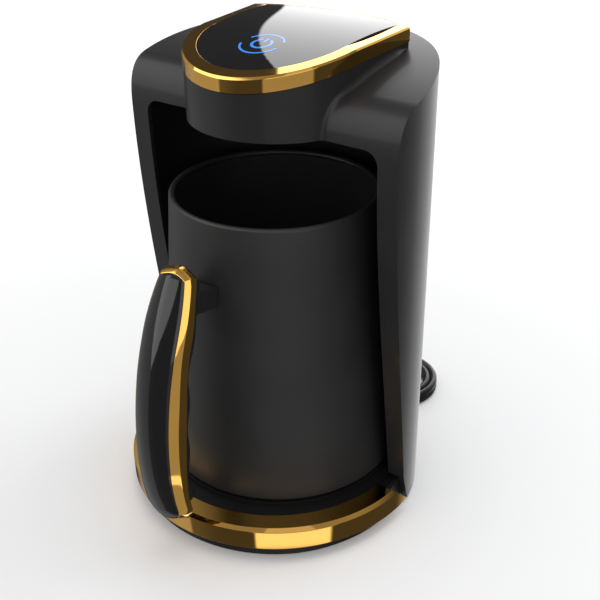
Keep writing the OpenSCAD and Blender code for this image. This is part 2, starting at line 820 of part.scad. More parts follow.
leg_angles = [30, 150, 270];
module plate_leg_at(a) {
    translate([plate_leg_ring_r * cos(a), plate_leg_ring_r * sin(a), 0]) children();
}

// Cast plate that the pot stands on
module heating_plate() {
    color("#2b2b2d") at_pot() difference() {
        union() {
            rotate_extrude($fn = 120) polygon([
                [0, plate_low_z], [plate_r, plate_low_z], [plate_r, plate_top_z - 0.6],
                [plate_r - 0.6, plate_top_z], [0, plate_top_z]
            ]);
            for (a = leg_angles) plate_leg_at(a) translate([0, 0, tray_floor_z + fit])
                cylinder(h = plate_low_z - tray_floor_z - fit, r = plate_leg_r, $fn = fine);
        }
        translate([0, 0, plate_low_z - cut])
            cylinder(h = plate_t + 2 * cut, r = sensor_r + fit, $fn = 64);
        for (a = leg_angles) plate_leg_at(a) translate([0, 0, tray_floor_z])
            cylinder(h = 8, r = leg_screw_r + 0.1, $fn = fine);
    }
}

leg_screw_r = 1.3;
module plate_screws() {
    color("#b9bcc0") at_pot() for (a = leg_angles) plate_leg_at(a)
        translate([0, 0, tray_z + screw_sink]) flat_screw(leg_screw_r, 3);
}

// Screw that goes up into the base, with its head sunk in the tray's underside
module flat_screw(r, head_r) {
    cylinder(h = base_screw_l, r = r, $fn = fine);
    translate([0, 0, -base_head_t]) cylinder(h = base_head_t, r = head_r, $fn = fine);
}
base_screw_l = 7;
base_head_t = 0.8;
screw_sink = 0.9;

// Tubular heater loop under the plate, with its two cold ends at the back
element_z = plate_low_z - fit - element_tube_r;
module heating_element() {
    color("#8d9096") at_pot() {
        translate([0, 0, element_z]) rotate([0, 0, 90 + element_gap_a])
            rotate_extrude(angle = 360 - 2 * element_gap_a, $fn = 120)
                translate([element_r, 0]) circle(element_tube_r, $fn = 32);
        for (s = [-1, 1]) rotate([0, 0, s * (element_gap_a + 3)])
            translate([0, element_r, element_z]) {
                rotate([-90, 0, 0]) cylinder(h = 9, r = 1.2, $fn = fine);
                translate([-2, 7.6, -0.4]) cube([4, 3.5, 0.8]);
            }
    }
}

// Thin bright pan that keeps the heat off the tray
shield_z = tray_floor_z + fit;
shield_gap_w = 44;
module heat_shield() {
    color("#c3c6ca") at_pot() difference() {
        translate([0, 0, shield_z]) cylinder(h = 0.6, r = plate_r - 3.4, $fn = 120);
        for (a = leg_angles) plate_leg_at(a) translate([0, 0, shield_z - cut])
            cylinder(h = 3, r = plate_leg_r + fit, $fn = fine);
        // room for the heating element's two ends
        translate([-shield_gap_w / 2, element_r + 1, shield_z - cut])
            cube([shield_gap_w, plate_r, 3]);
    }
}

// ---- temperature sensor ----

cap_flange_r = sensor_r + 1.4;
cap_flange_t = 1;
cap_flange_z = plate_low_z - fit - cap_flange_t;
cup_floor_z = shield_z + 0.6 + fit;
cup_floor_t = 1;
cup_wall = 1.3;

module sensor_cup() {
    color("#a9adb3") at_pot() difference() {
        translate([0, 0, cup_floor_z])
            cylinder(h = plate_low_z - fit - cup_floor_z, r = cap_flange_r + cup_wall, $fn = 64);
        translate([0, 0, cup_floor_z + cup_floor_t])
            cylinder(h = plate_t + 20, r = cap_flange_r + fit, $fn = 64);
        translate([0, 0, cup_floor_z - cut]) cylinder(h = 5, r = 1.6, $fn = fine);
    }
}

// Spring that keeps the cap against the pot, computed as a swept helix
spring_low_z = cup_floor_z + cup_floor_t + seam;
spring_high_z = cap_flange_z - seam;
spring_wire_r = 0.45;
spring_r = sensor_r - 0.6;
spring_turns = 3;
spring_steps = 20;
spring_sides = 8;
function spring_centre(i) =
    let (a = 360 * i / spring_steps, n = spring_steps * spring_turns,
        z0 = spring_low_z + spring_wire_r, z1 = spring_high_z - spring_wire_r)
        [spring_r * cos(a), spring_r * sin(a), z0 + (z1 - z0) * i / n];
function spring_point(i, j) =
    let (a = 360 * i / spring_steps, b = 360 * j / spring_sides)
        spring_centre(i) + spring_wire_r * [cos(b) * cos(a), cos(b) * sin(a), sin(b)];
module sensor_spring() {
    n = spring_steps * spring_turns;
    m = spring_sides;
    color("#c9ccd0") at_pot() polyhedron(
        points = [for (i = [0 : n], j = [0 : m - 1]) spring_point(i, j)],
        faces = tube_faces(n, m));
}

// Faces of a tube of n + 1 rings with m sides, closed at both ends
function tube_faces(n, m) = concat(
    [[for (j = [0 : m - 1]) j]],
    [for (i = [0 : n - 1], j = [0 : m - 1])
        [i * m + j, (i + 1) * m + j, (i + 1) * m + (j + 1) % m, i * m + (j + 1) % m]],
    [[for (j = [m - 1 : -1 : 0]) n * m + j]]);

module sensor_cap() {
    color("#d5d7da") at_pot() difference() {
        union() {
            translate([0, 0, cap_flange_z]) cylinder(h = cap_flange_t, r = cap_flange_r, $fn = 64);
            translate([0, 0, cap_flange_z])
                cylinder(h = plate_top_z - cap_flange_z, r = sensor_r, $fn = 64);
        }
        translate([0, 0, cap_flange_z - cut])
            cylinder(h = plate_top_z - cap_flange_z - 1 + cut, r = sensor_r - 1.4, $fn = 64);
    }
}

module sensor_probe() {
    color("#2b2b2b") at_pot() translate([0, 0, plate_top_z - 1 - seam - 3])
        cylinder(h = 3, r = 1.4, $fn = fine);
}

// Over-temperature fuse strapped under the plate
clip_l = 2 * (fuse_r + 4);
clip_off_cup = 2;
fuse_y = -(cap_flange_r + cup_wall + clip_off_cup + clip_l / 2);
module thermal_fuse() {
    color("#d9cfa8") at_pot() translate([-fuse_l / 2, fuse_y, plate_low_z - fit - fuse_r])
        rotate([0, 90, 0]) cylinder(h = fuse_l, r = fuse_r, $fn = fine);
}

module fuse_clip() {
    color("#c3c6ca") at_pot() translate([0, fuse_y, plate_low_z - seam]) difference() {
        translate([-3, -clip_l / 2, -2 * fuse_r - 1]) cube([6, clip_l, 2 * fuse_r + 1]);
        translate([-4, 0, -fit - fuse_r + seam]) rotate([0, 90, 0])
            cylinder(h = 8, r = fuse_r + seam, $fn = fine);
        translate([-4, -fuse_r - seam, -fuse_r - fit]) cube([8, 2 * fuse_r + 2 * seam, 10]);
        for (s = [-1, 1]) translate([-4, s * (clip_l / 2 - 1.4) - 1.8, -2 * fuse_r - 2])
            cube([8, 3.6, 2 * fuse_r + 1]);
    }
}

// ---- feet and screws ----

module feet() {
    color("#151515") at_pot() round_base(foot_ring_r, foot_angles) {
        rotate_extrude($fn = 48) polygon([
            [0, 0], [foot_r - 0.5, 0], [foot_r, 0.4], [foot_r, tray_z], [0, tray_z]
        ]);
        cylinder(h = tray_floor_z + 0.8, r = 2, $fn = fine);
    }
}

module base_screws() {
    color("#b9bcc0") at_pot() round_base(screw_ring_r, screw_angles)
        translate([0, 0, tray_z + screw_sink]) flat_screw(base_screw_r - fit, 2 * base_screw_r);
}

// ---- pot ----

// Outer radius of the pot at height z
function pot_r(z) = pot_foot_r + (rim_r - pot_foot_r) * (z - pot_z) / pot_h;

module pot_vessel() {
    lip_r = lip_w / 2;
    inner_z = pot_z + pot_disc_t + pot_floor_t;
    color("#2a2a2b") at_pot() rotate_extrude($fn = 180) {
        polygon([
            [0, inner_z - pot_floor_t], [pot_disc_r + fit, inner_z - pot_floor_t],
            [pot_disc_r + fit, pot_z], [pot_foot_r - pot_foot_round, pot_z],
            [pot_r(pot_z + pot_foot_round), pot_z + pot_foot_round],
            [rim_r, rim_z - lip_r], [rim_r - pot_wall, rim_z - lip_r],
            [pot_r(inner_z + 4) - pot_wall, inner_z + 4],
            [pot_r(inner_z) - pot_wall - 4, inner_z], [0, inner_z]
        ]);
        translate([rim_r - lip_r, rim_z - lip_r]) circle(lip_r, $fn = 32);
    }
}

module pot_base_disc() {
    color("#b4b6b9") at_pot() translate([0, 0, pot_z + seam])
        cylinder(h = pot_disc_t - 2 * seam, r = pot_disc_r, $fn = 120);
}

// ---- handle ----

// Closed side profile between two lines that both run upwards
module between_lines(front, back) {
    polygon(concat(front, [for (i = [len(back) - 1 : -1 : 0]) back[i]]));
}

// Everything inside the handle's outline as seen from the front, moved in by d
module inside_outline(d) {
    half = half_outline_in(d);
    path = concat(half, mirrored([for (i = [1 : len(half) - 2]) half[i]]));
    rotate([90, 0, 0]) linear_extrude(2 * body_r) polygon(path);
}

// Black grip behind and inside the gold band, waved for the fingers, free at its lower end
module handle_grip() {
    color("#1b1b1c") at_pot() difference() {
        union() {
            intersection() {
                side_extrude(3 * handle_half_w)
                    between_lines(edge_line_at(shell_depth + seam), band_back_line(cut, 0));
                inside_outline(band_t + seam);
            }
            intersection() {
                side_extrude(3 * handle_half_w) between_lines(
                    band_back_line(seam, 0), band_back_line(grip_proud, finger_wave));
                inside_outline(grip_inset);
            }
        }
        arm_solid(fit, pocket_open);
        handle_screws_at() translate([0, 0, -screw_l])
            cylinder(h = screw_l + cut, r = handle_screw_r - 0.2, $fn = fine);
    }
}
grip_inset = 0.6;

// Glossy front shell of the handle: a crowned front with a plug that fits inside the gold band
shell_depth = 3;
shell_heights = concat(
    [for (a = [-84 : 12 : 0]) handle_low_z + handle_half_w * (1 + sin(a))],
    [for (z = [handle_low_z + handle_half_w + 6 : 7 : handle_top_z - 16]) z],
    [for (k = [0 : 5]) handle_top_z - 12.7 + 2.4 * k]);
shell_cols = 8;
outline_table = [for (p = half_outline_in(0)) [p[1], p[0]]];
function shell_ring(z) =
    let (w = lookup(z, outline_table), rise = handle_crown * w / handle_half_w) concat(
        [for (j = [0 : shell_cols]) let (u = 2 * j / shell_cols - 1,
            q = handle_at(z, -rise * (1 - u * u) - shell_edge_t)) [w * u, q[0], q[1]]],
        [for (u = [1, -1]) let (q = handle_at(z, 0)) [w * u, q[0], q[1]]]);
module handle_shell() {
    color("#0b0b0c") at_pot() union() {
        polyhedron(
            points = [for (z = shell_heights) for (p = shell_ring(z)) p],
            faces = tube_faces(len(shell_heights) - 1, shell_cols + 3));
        intersection() {
            side_extrude(3 * handle_half_w)
                between_lines(edge_line_at(-shell_edge_t / 2), edge_line_at(shell_depth));
            inside_outline(band_t + seam);
        }
    }
}

// Gold band round the handle: both sides, joined over the top and under the foot
module handle_trim() {
    color("#e0a53a") at_pot() intersection() {
        side_extrude(3 * handle_half_w) between_lines(edge_line_at(seam), band_back_line(0, 0));
        difference() {
            inside_outline(0);
            translate([0, cut, 0]) inside_outline(band_t);
        }
    }
}

// Arm from the pot to the handle, ending in a plate let into the grip's back
arm_y0 = -pot_r(arm_z) + 1.2;
plate_depth = 8.8;
arm_plate_t = 2.4;
arm_plate_w = 11;
arm_plate_l = 42;
arm_rise = 10;
// How far the grip's pocket for the plate runs out through the grip's back
pocket_open = 8;
function arm_end(dz) = handle_at(arm_z + dz, plate_depth + 1);
module arm_solid(d, open) {
    side_extrude(arm_w + 2 * d) polygon([
        [arm_y0, arm_z - arm_t / 2 - d], [arm_y0, arm_z + arm_t / 2 + d],
        arm_end(arm_rise) + [-d, d], arm_end(-arm_t) + [-d, -d]
    ]);
    intersection() {
        side_extrude(arm_plate_w + 2 * d) between_lines(
            edge_line_at(plate_depth - d), edge_line_at(plate_depth + arm_plate_t + open));
        translate([-body_r, -2 * body_r, arm_z + arm_rise - arm_plate_l - d])
            cube([2 * body_r, 2 * body_r, arm_plate_l + 2 * d]);
    }
}
module handle_arm() {
    color("#202021") at_pot() difference() {
        arm_solid(0, 0);
        rotate_extrude($fn = 180) polygon([
            [0, pot_z], [pot_foot_r + seam, pot_z], [rim_r + seam, rim_z], [0, rim_z]
        ]);
        handle_screws_at() translate([0, 0, -screw_l])
            cylinder(h = 2 * screw_l, r = handle_screw_r + 0.2, $fn = fine);
    }
}

// Places of the two screws that hold the plate in the grip, square to it
screw_l = 7;
handle_screw_drops = [-15.2, -25];
module handle_screws_at() {
    for (dz = handle_screw_drops) {
        q = handle_at(arm_z + dz, plate_depth + arm_plate_t);
        n = edge_normal(arm_z + dz);
        translate([0, q[0], q[1]]) rotate([-90 + atan2(n[1], n[0]), 0, 0]) children();
    }
}
module handle_screws() {
    color("#9fa2a6") at_pot() handle_screws_at() {
        translate([0, 0, -screw_l + 0.6]) cylinder(h = screw_l, r = handle_screw_r - 0.4, $fn = fine);
        translate([0, 0, 0.1]) cylinder(h = 1.2, r = 2.6, $fn = fine);
    }
}

// ---- cord ----

relief_x = -30;
relief_z = 9;
relief_back_y = -body_shift + sqrt(body_r * body_r - relief_x * relief_x);
relief_in_y = relief_back_y - 7;
relief_out_y = relief_back_y + relief_l;

module strain_relief() {
    color("#141415") at_pot() translate([relief_x, 0, relief_z]) rotate([-90, 0, 0])
        rotate_extrude($fn = 48) polygon([
            [cord_d / 2 + seam, relief_in_y], [relief_r, relief_in_y],
            [relief_r, relief_back_y + 2.6], [relief_r + 0.6, relief_back_y + 2.6],
            [relief_r + 0.6, relief_back_y + 4.4], [cord_d / 2 + 0.7, relief_out_y],
            [cord_d / 2 + seam, relief_out_y]
        ]);
}

clamp_w = 12;
clamp_d = 5;
module cord_clamp() {
    color("#2c2c2e") at_pot() translate([relief_x, relief_in_y - 6, tray_floor_z]) difference() {
        translate([-clamp_w / 2, -clamp_d / 2, 0])
            cube([clamp_w, clamp_d, relief_z - tray_floor_z + cord_d]);
        translate([0, -clamp_d / 2 - cut, relief_z - tray_floor_z]) rotate([-90, 0, 0])
            cylinder(h = clamp_d + 2 * cut, r = cord_d / 2 + seam, $fn = fine);
    }
}

// Route of the cord outside the coil, as points from the middle of the body's back
coil_x = 10.5;
coil_y = back_reach + 24;
cord_r = cord_d / 2;
function behind_body(pts) = [for (p = pts) [p[0], p[1] + back_reach, p[2]]];
route_out = behind_body([
    [-30, -21.6, 9], [-30, -5.6, 9], [-30, 7.4, 9], [-30, 16.4, 9], [-29.6, 21.4, 8.2],
    [-28.4, 25.9, 6.4], [-26, 30.2, 4.2], [-22.4, 33.8, 2.5], [-17.6, 36.6, 1.8], [-11.6, 39, 1.8],
    [-5, 41.4, 1.8], [1.3, 43.8, 1.8]
]);
route_plug = behind_body([
    [10.5, 2.2, 5.4], [5, 2.3, 5.2], [0, 2.5, 4.2], [-5, 2.8, 2.8], [-10, 3.2, 2], [-15, 3.7, 1.8],
    [-20, 4.4, 1.8], [-26, 5.3, 1.8], [-31, 6.2, 2.2], [-36, 7.2, 3.3], [-41, 8.2, 4.8],
    [-46, 9, 6.2], [-51, 9.4, 6.9], [-56, 9.4, 6.9], [-62, 9.4, 6.9]
]);
function catmull(p0, p1, p2, p3, t) = 0.5 * (2 * p1 + (p2 - p0) * t
    + (2 * p0 - 5 * p1 + 4 * p2 - p3) * t * t + (3 * p1 - p0 - 3 * p2 + p3) * t * t * t);
function smooth_route(pts, per) = let (n = len(pts)) concat(
    [for (i = [0 : n - 2], k = [0 : per - 1]) catmull(pts[max(i - 1, 0)], pts[i], pts[i + 1],
        pts[min(i + 2, n - 1)], k / per)],
    [pts[n - 1]]);
function ring_points(c, dir, r, sides) =
    let (u = unit(cross(dir, [0, 0, 1])), v = cross(u, dir))
        [for (j = [0 : sides - 1]) c + r * (cos(360 * j / sides) * u + sin(360 * j / sides) * v)];
module cord_tube(pts, r, sides) {
    n = len(pts) - 1;
    rings = [for (i = [0 : n])
        ring_points(pts[i], unit(pts[min(i + 1, n)] - pts[max(i - 1, 0)]), r, sides)];
    polyhedron(points = [for (ring = rings) for (p = ring) p], faces = tube_faces(n, sides));
}
module power_cord() {
    color("#121213") at_pot() {
        cord_tube(smooth_route(route_out, 2), cord_r * 0.99, 8);
        cord_tube(smooth_route(route_plug, 2), cord_r * 0.99, 8);
    }
}

// Outer shape of the coiled cord lying behind the body
coil_layers = 2;
coil_h = coil_layers * cord_d;
module cord_coil() {
    color("#121213") at_pot() translate([coil_x, coil_y, 0]) rotate_extrude($fn = 96)
        translate([coil_turn_r - cord_d, 0]) square([2 * cord_d, coil_h]);
}

// Band round the coil's turns, on the side away from the body
tie_bearing = 180;
module cord_tie() {
    color("#1d1d1f") at_pot() translate([coil_x, coil_y, 0]) rotate([0, 0, tie_bearing])
        translate([coil_turn_r, 0, coil_h / 2]) difference() {
            cube([2 * cord_d + 2 * tie_t + 2 * fit, tie_w, coil_h + 2 * fit], center = true);
            cube([2 * cord_d + 2 * fit, tie_w + 2 * cut, coil_h + fit], center = true);
            // open towards the table
            translate([0, 0, -coil_h]) cube([4 * coil_h, tie_w + 2 * cut, coil_h], center = true);
        }
}

// Flat two-pin plug lying beside the coil, with a tapered sleeve for the cord
plug_x = -62;
plug_y = back_reach + 9.4;
plug_sleeve_l = 12;
plug_neck_w = 16;
module plug_body() {
    color("#131314") at_pot() translate([plug_x, plug_y, 0]) difference() {
        union() {
            intersection() {
                translate([-plug_l, 0, plug_t / 2]) rotate([0, 90, 0])
                    linear_extrude(plug_l) rounded_plug(plug_t, plug_w);
                linear_extrude(plug_t) polygon([
                    [-plug_l, -plug_w / 2], [-plug_l / 2, -plug_w / 2], [0, -plug_neck_w / 2],
                    [0, plug_neck_w / 2], [-plug_l / 2, plug_w / 2], [-plug_l, plug_w / 2]
                ]);
            }
            translate([-cut, 0, plug_t / 2]) rotate([0, 90, 0])
                cylinder(h = plug_sleeve_l, r1 = 4.6, r2 = cord_r + 0.8, $fn = 48);
        }
        translate([-3, 0, plug_t / 2]) rotate([0, 90, 0])
            cylinder(h = plug_sleeve_l + 4, r = cord_r + seam, $fn = 48);
    }
}
module rounded_plug(t, w) {
    union() {
        square([t, w - t], center = true);
        for (s = [-1, 1]) translate([0, s * (w - t) / 2]) circle(t / 2, $fn = 48);
    }
}

module plug_pins() {
    color("#c9a45a") at_pot() for (s = [-1, 1])
        translate([plug_x - plug_l, plug_y + s * pin_pitch / 2, plug_t / 2]) rotate([0, -90, 0]) {
            cylinder(h = pin_l - 1, d = pin_d, $fn = fine);
            translate([0, 0, pin_l - 1]) cylinder(h = 1, r1 = pin_d / 2, r2 = pin_d / 2 - 0.8, $fn = fine);
        }
}

body_shell();
bay_liner();
head_underside();
panel_trim();
touch_glass();
power_key_mark();
light_guide();
touch_board();
touch_board_screws();
boil_sensor_lens();
boil_sensor_holder();
power_board();
power_board_screws();
relay();
capacitor();
buzzer();
lead_connector();
wiring_leads();
base_tray();
base_ring();
bay_floor();
plate_seal();
heating_plate();
plate_screws();
heating_element();
heat_shield();
sensor_cup();
sensor_spring();
sensor_cap();
sensor_probe();
thermal_fuse();
fuse_clip();
terminal_block();
cord_clamp();
feet();
base_screws();
pot_vessel();
pot_base_disc();
handle_arm();
handle_grip();
handle_shell();
handle_trim();
handle_screws();
strain_relief();
power_cord();
cord_coil();
cord_tie();
plug_body();
plug_pins();
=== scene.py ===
import math

import bpy
import numpy as np
from mathutils import Matrix, Vector


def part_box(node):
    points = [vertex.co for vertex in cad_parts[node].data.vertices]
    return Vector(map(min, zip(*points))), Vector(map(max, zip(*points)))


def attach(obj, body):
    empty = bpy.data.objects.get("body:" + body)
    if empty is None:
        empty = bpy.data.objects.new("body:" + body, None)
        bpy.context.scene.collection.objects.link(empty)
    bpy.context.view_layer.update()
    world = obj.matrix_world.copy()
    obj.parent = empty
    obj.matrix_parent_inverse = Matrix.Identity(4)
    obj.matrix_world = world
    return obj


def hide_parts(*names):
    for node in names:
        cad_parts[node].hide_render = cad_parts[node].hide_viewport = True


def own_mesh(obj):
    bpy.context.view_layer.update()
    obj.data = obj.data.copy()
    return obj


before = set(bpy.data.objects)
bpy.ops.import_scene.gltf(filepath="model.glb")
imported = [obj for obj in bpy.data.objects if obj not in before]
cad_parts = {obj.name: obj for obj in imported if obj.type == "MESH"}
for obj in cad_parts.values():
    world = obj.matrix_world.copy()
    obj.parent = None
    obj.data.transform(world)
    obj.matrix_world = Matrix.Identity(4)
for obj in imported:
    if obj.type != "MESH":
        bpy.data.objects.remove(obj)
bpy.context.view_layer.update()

# ---- Camera ----
# Stands at the front right of the machine, a little above its head, and looks down on the pot.
# Its place is in metres. It is turned round the upright, tilted down and leant over, in radians.
stand = (0.23521, -0.28539, 0.29858)
turn, tilt, lean = 0.6495, 0.5194, -0.0168
lens_data = bpy.data.cameras.new("camera")
lens_data.sensor_width = 36
lens_data.lens = 57.94
lens_data.shift_x = 0.00915
lens_data.shift_y = 0.0230
camera = bpy.data.objects.new("camera", lens_data)
bpy.context.scene.collection.objects.link(camera)
level = Vector((-math.sin(turn), math.cos(turn), 0))
ahead = level * math.cos(tilt) - Vector((0, 0, 1)) * math.sin(tilt)
over = Vector((0, 0, 1)) * math.cos(tilt) + level * math.sin(tilt)
across = Vector((math.cos(turn), math.sin(turn), 0))
right = across * math.cos(lean) + over * math.sin(lean)
up = over * math.cos(lean) - across * math.sin(lean)
camera.matrix_world = Matrix([
    (right[row], up[row], -ahead[row], stand[row]) for row in range(3)] + [(0, 0, 0, 1)])
bpy.context.scene.camera = camera
bpy.context.scene.view_settings.view_transform = "Standard"

# ---- Studio ----
# White paper on the table and an even white room. Metal and gloss mirror a dim room instead, with
# tall soft boxes laid out round the machine by their bearing and their height, both in degrees.
paper_white = (0.82, 0.823, 0.83, 1)
# painted shade: the paper's glow is weakest near the machine and darkens the paper round it
painted_shade_from, painted_shade_to, glow_near, glow_far = 0.2, 0.55, 0.1, 0.25  # metres, then strengths
room_light, dim_light = 0.8, 0.06
bpy.ops.object.select_all(action="DESELECT")
bpy.ops.mesh.primitive_grid_add(x_subdivisions=8, y_subdivisions=8, size=12, location=(0, 0, 0))
table = bpy.context.object
table.name = "table_top"


def new_material(name):
    made = bpy.data.materials.new(name)
    made.use_nodes = True
    made.node_tree.nodes.clear()
    return made, made.node_tree.nodes, made.node_tree.links


white_table, nodes, links = new_material("white_table")
out = nodes.new("ShaderNodeOutputMaterial")
paper = nodes.new("ShaderNodeBsdfDiffuse")
paper.inputs["Color"].default_value = paper_white
glow = nodes.new("ShaderNodeEmission")
place = nodes.new("ShaderNodeTexCoord")
reach = nodes.new("ShaderNodeVectorMath")
reach.operation = "LENGTH"
links.new(place.outputs["Object"], reach.inputs[0])
fade = nodes.new("ShaderNodeMapRange")
for socket, value in zip(("From Min", "From Max", "To Min", "To Max"),
                         (painted_shade_from, painted_shade_to, glow_near, glow_far)):
    fade.inputs[socket].default_value = value
links.new(reach.outputs["Value"], fade.inputs["Value"])
links.new(fade.outputs[0], glow.inputs["Strength"])
# painted light and shade: the paper's glow grows with the distance from the machine, so the paper
# is painted darker round the machine like a wide soft shadow and lifted to white further off; gloss
# doesn't see the paper
lifted = nodes.new("ShaderNodeAddShader")
ray = nodes.new("ShaderNodeLightPath")
seen = nodes.new("ShaderNodeMixShader")
gloss = nodes.new("ShaderNodeMixShader")
clear = nodes.new("ShaderNodeBsdfTransparent")
links.new(paper.outputs[0], lifted.inputs[0])
links.new(glow.outputs[0], lifted.inputs[1])
links.new(ray.outputs["Is Camera Ray"], seen.inputs[0])
links.new(paper.outputs[0], seen.inputs[1])
links.new(lifted.outputs[0], seen.inputs[2])
links.new(ray.outputs["Is Glossy Ray"], gloss.inputs[0])
links.new(seen.outputs[0], gloss.inputs[1])
links.new(clear.outputs[0], gloss.inputs[2])
links.new(gloss.outputs[0], out.inputs[0])
table.data.materials.append(white_table)

room = bpy.data.worlds.new("room")
bpy.context.scene.world = room
room.use_nodes = True
nodes, links = room.node_tree.nodes, room.node_tree.links
nodes.clear()
way = nodes.new("ShaderNodeTexCoord")
parts = nodes.new("ShaderNodeSeparateXYZ")
links.new(way.outputs["Generated"], parts.inputs[0])


def maths(operation, a, b=None):
    node = nodes.new("ShaderNodeMath")
    node.operation = operation
    for socket, value in zip(node.inputs, (a, b)):
        if isinstance(value, (int, float)):
            socket.default_value = value
        elif value is not None:
            links.new(value, socket)
    return node.outputs[0]


def ramp(value, low, high, to_low=0.0, to_high=1.0):
    node = nodes.new("ShaderNodeMapRange")
    node.interpolation_type = "SMOOTHSTEP"
    for socket, number in zip(("From Min", "From Max", "To Min", "To Max"),
                              (low, high, to_low, to_high)):
        node.inputs[socket].default_value = number
    links.new(value, node.inputs["Value"])
    return node.outputs["Result"]


def times(*values):
    total = values[0]
    for value in values[1:]:
        total = maths("MULTIPLY", total, value)
    return total


def plus(*values):
    total = values[0]
    for value in values[1:]:
        total = maths("ADD", total, value)
    return total


bearing = times(maths("ARCTAN2", parts.outputs[1], parts.outputs[0]), math.degrees(1))
rise = times(maths("ARCSINE", parts.outputs[2]), math.degrees(1))
under_roof = ramp(rise, 50, 60, 1, 0)
# back box: wide, behind at the right. Its far edge is sharp and bowed, as the touch glass shows
edge_rise = maths("MINIMUM", maths("MAXIMUM", rise, 0), 40)
edge = plus(126.8, times(edge_rise, -0.12), times(edge_rise, edge_rise, 0.0201),
            times(edge_rise, edge_rise, edge_rise, -0.00025))
back_box = times(ramp(bearing, 52, 108),
                 ramp(maths("SUBTRACT", bearing, edge), -0.12, 0.12, 1, 0),
                 ramp(rise, -12, 12, 2.0, 2.6), ramp(rise, 34, 50, 1, 0.05))
# front box: before the camera, with a narrow strip far below it
front_span = times(ramp(bearing, -73, -70), ramp(bearing, -14, -10, 1, 0))
strip = times(ramp(rise, -41, -40.3, 0.95, 0), ramp(rise, -44.8, -43.8))
front_box = times(front_span, plus(ramp(rise, -2, -1, 0, 0.95), strip), under_roof)
front_fill = times(front_span, 0.3)
# left box: dull, round the left side, and over it a peaked one for the handle's glossy front
left_box = times(plus(ramp(bearing, -128, -125, 1, 0), ramp(bearing, 150, 175)), 0.3, under_roof)
slope = times(maths("ABSOLUTE", plus(bearing, 126)), -0.75)
peak_box = times(ramp(bearing, -74, -70, 1, 0), ramp(plus(rise, slope), -7.6, -6.4, 0, 1.8),
                 ramp(rise, 45, 60, 1, 0))
roof_fill = ramp(rise, 36, 56, 0, 0.22)
dim_room = plus(dim_light, ramp(bearing, -128, -100, 0.05, 0))
gloss_light = plus(back_box, roof_fill, peak_box, front_box, front_fill, left_box, dim_room)

path = nodes.new("ShaderNodeLightPath")
even, white, mirrored_room = (nodes.new("ShaderNodeBackground") for _ in range(3))
for light in (even, white, mirrored_room):
    light.inputs["Color"].default_value = (1, 1, 1, 1)
even.inputs["Strength"].default_value = room_light
links.new(gloss_light, mirrored_room.inputs["Strength"])
unseen_room = nodes.new("ShaderNodeMixShader")
whole_room = nodes.new("ShaderNodeMixShader")
links.new(path.outputs["Is Glossy Ray"], unseen_room.inputs[0])
links.new(even.outputs[0], unseen_room.inputs[1])
links.new(mirrored_room.outputs[0], unseen_room.inputs[2])
links.new(path.outputs["Is Camera Ray"], whole_room.inputs[0])
links.new(unseen_room.outputs[0], whole_room.inputs[1])
links.new(white.outputs[0], whole_room.inputs[2])
world_out = nodes.new("ShaderNodeOutputWorld")
links.new(whole_room.outputs[0], world_out.inputs[0])

machine_middle = Vector((0, 0, 0.1))
for name, place, size, power in (
        ("ceiling_box", (0.0, 0.2, 1.7), 0.9, 6), ("window_box", (0.5, 1.0, 1.1), 0.8, 4)):
    lamp_data = bpy.data.lights.new(name, "AREA")
    lamp_data.shape = "SQUARE"
    lamp_data.size = size
    lamp_data.energy = power
    lamp = bpy.data.objects.new(name, lamp_data)
    lamp.location = place
    lamp.rotation_euler = (machine_middle - lamp.location).to_track_quat("-Z", "Y").to_euler()
    lamp.visible_glossy = False
    bpy.context.scene.collection.objects.link(lamp)

# ---- Mains cord ----
# Thin round two-core lead in soft black PVC, leaving the foot at the back. It lies on the table,
# is wound into a small coil behind the body and ends in a flat two-pin plug.
mm = 0.001    # sizes and places are in millimetres from here on
pot_y = 12.6  # the pot's centre line, which every y is counted from
cord_d = 3.6
coil_x, coil_y, coil_mid_r = 10.5, 86.6, 20


def drifting(name, colour, shades, roughness, scale, detail):
    """A finish whose colour and gloss drift slowly over the piece."""
    made, nodes, links = new_material(name)
    out = nodes.new("ShaderNodeOutputMaterial")
    shader = nodes.new("ShaderNodeBsdfPrincipled")
    links.new(shader.outputs[0], out.inputs[0])
    place = nodes.new("ShaderNodeTexCoord")
    cloud = nodes.new("ShaderNodeTexNoise")
    cloud.inputs["Scale"].default_value = scale
    cloud.inputs["Detail"].default_value = detail
    links.new(place.outputs["Object"], cloud.inputs["Vector"])
    blend = nodes.new("ShaderNodeValToRGB")
    for stop, at, factor in zip(blend.color_ramp.elements, (0.3, 0.7), shades):
        stop.position = at
        stop.color = tuple(min(1, value * factor) for value in colour) + (1,)
    links.new(cloud.outputs["Fac"], blend.inputs[0])
    links.new(blend.outputs[0], shader.inputs["Base Color"])
    sheen = nodes.new("ShaderNodeMapRange")
    sheen.inputs["To Min"].default_value, sheen.inputs["To Max"].default_value = roughness
    links.new(cloud.outputs["Fac"], sheen.inputs["Value"])
    links.new(sheen.outputs[0], shader.inputs["Roughness"])
    return made, shader, place


def plastic(name, colour, rough, grain=0.0, grain_size=1.0, tint=0.12, specular=0.5, coat=0.0,
            coat_rough=0.05, wear=0.04):
    """Moulded plastic, rubber or glass, with a fine grain where it has one."""
    made, shader, place = drifting(name, colour, (1 - tint, 1 + tint),
                                   (max(0, rough - wear), rough + wear), 38, 3)
    nodes, links = made.node_tree.nodes, made.node_tree.links
    if grain:
        fine = nodes.new("ShaderNodeTexNoise")
        fine.inputs["Scale"].default_value = 900 / grain_size
        fine.inputs["Detail"].default_value = 2
        links.new(place.outputs["Object"], fine.inputs["Vector"])
        bump = nodes.new("ShaderNodeBump")
        bump.inputs["Strength"].default_value = grain
        bump.inputs["Distance"].default_value = 0.05 * mm
        links.new(fine.outputs["Fac"], bump.inputs["Height"])
        links.new(bump.outputs[0], shader.inputs["Normal"])
    shader.inputs["Specular IOR Level"].default_value = specular
    shader.inputs["Coat Weight"].default_value = coat
    shader.inputs["Coat Roughness"].default_value = coat_rough
    return made


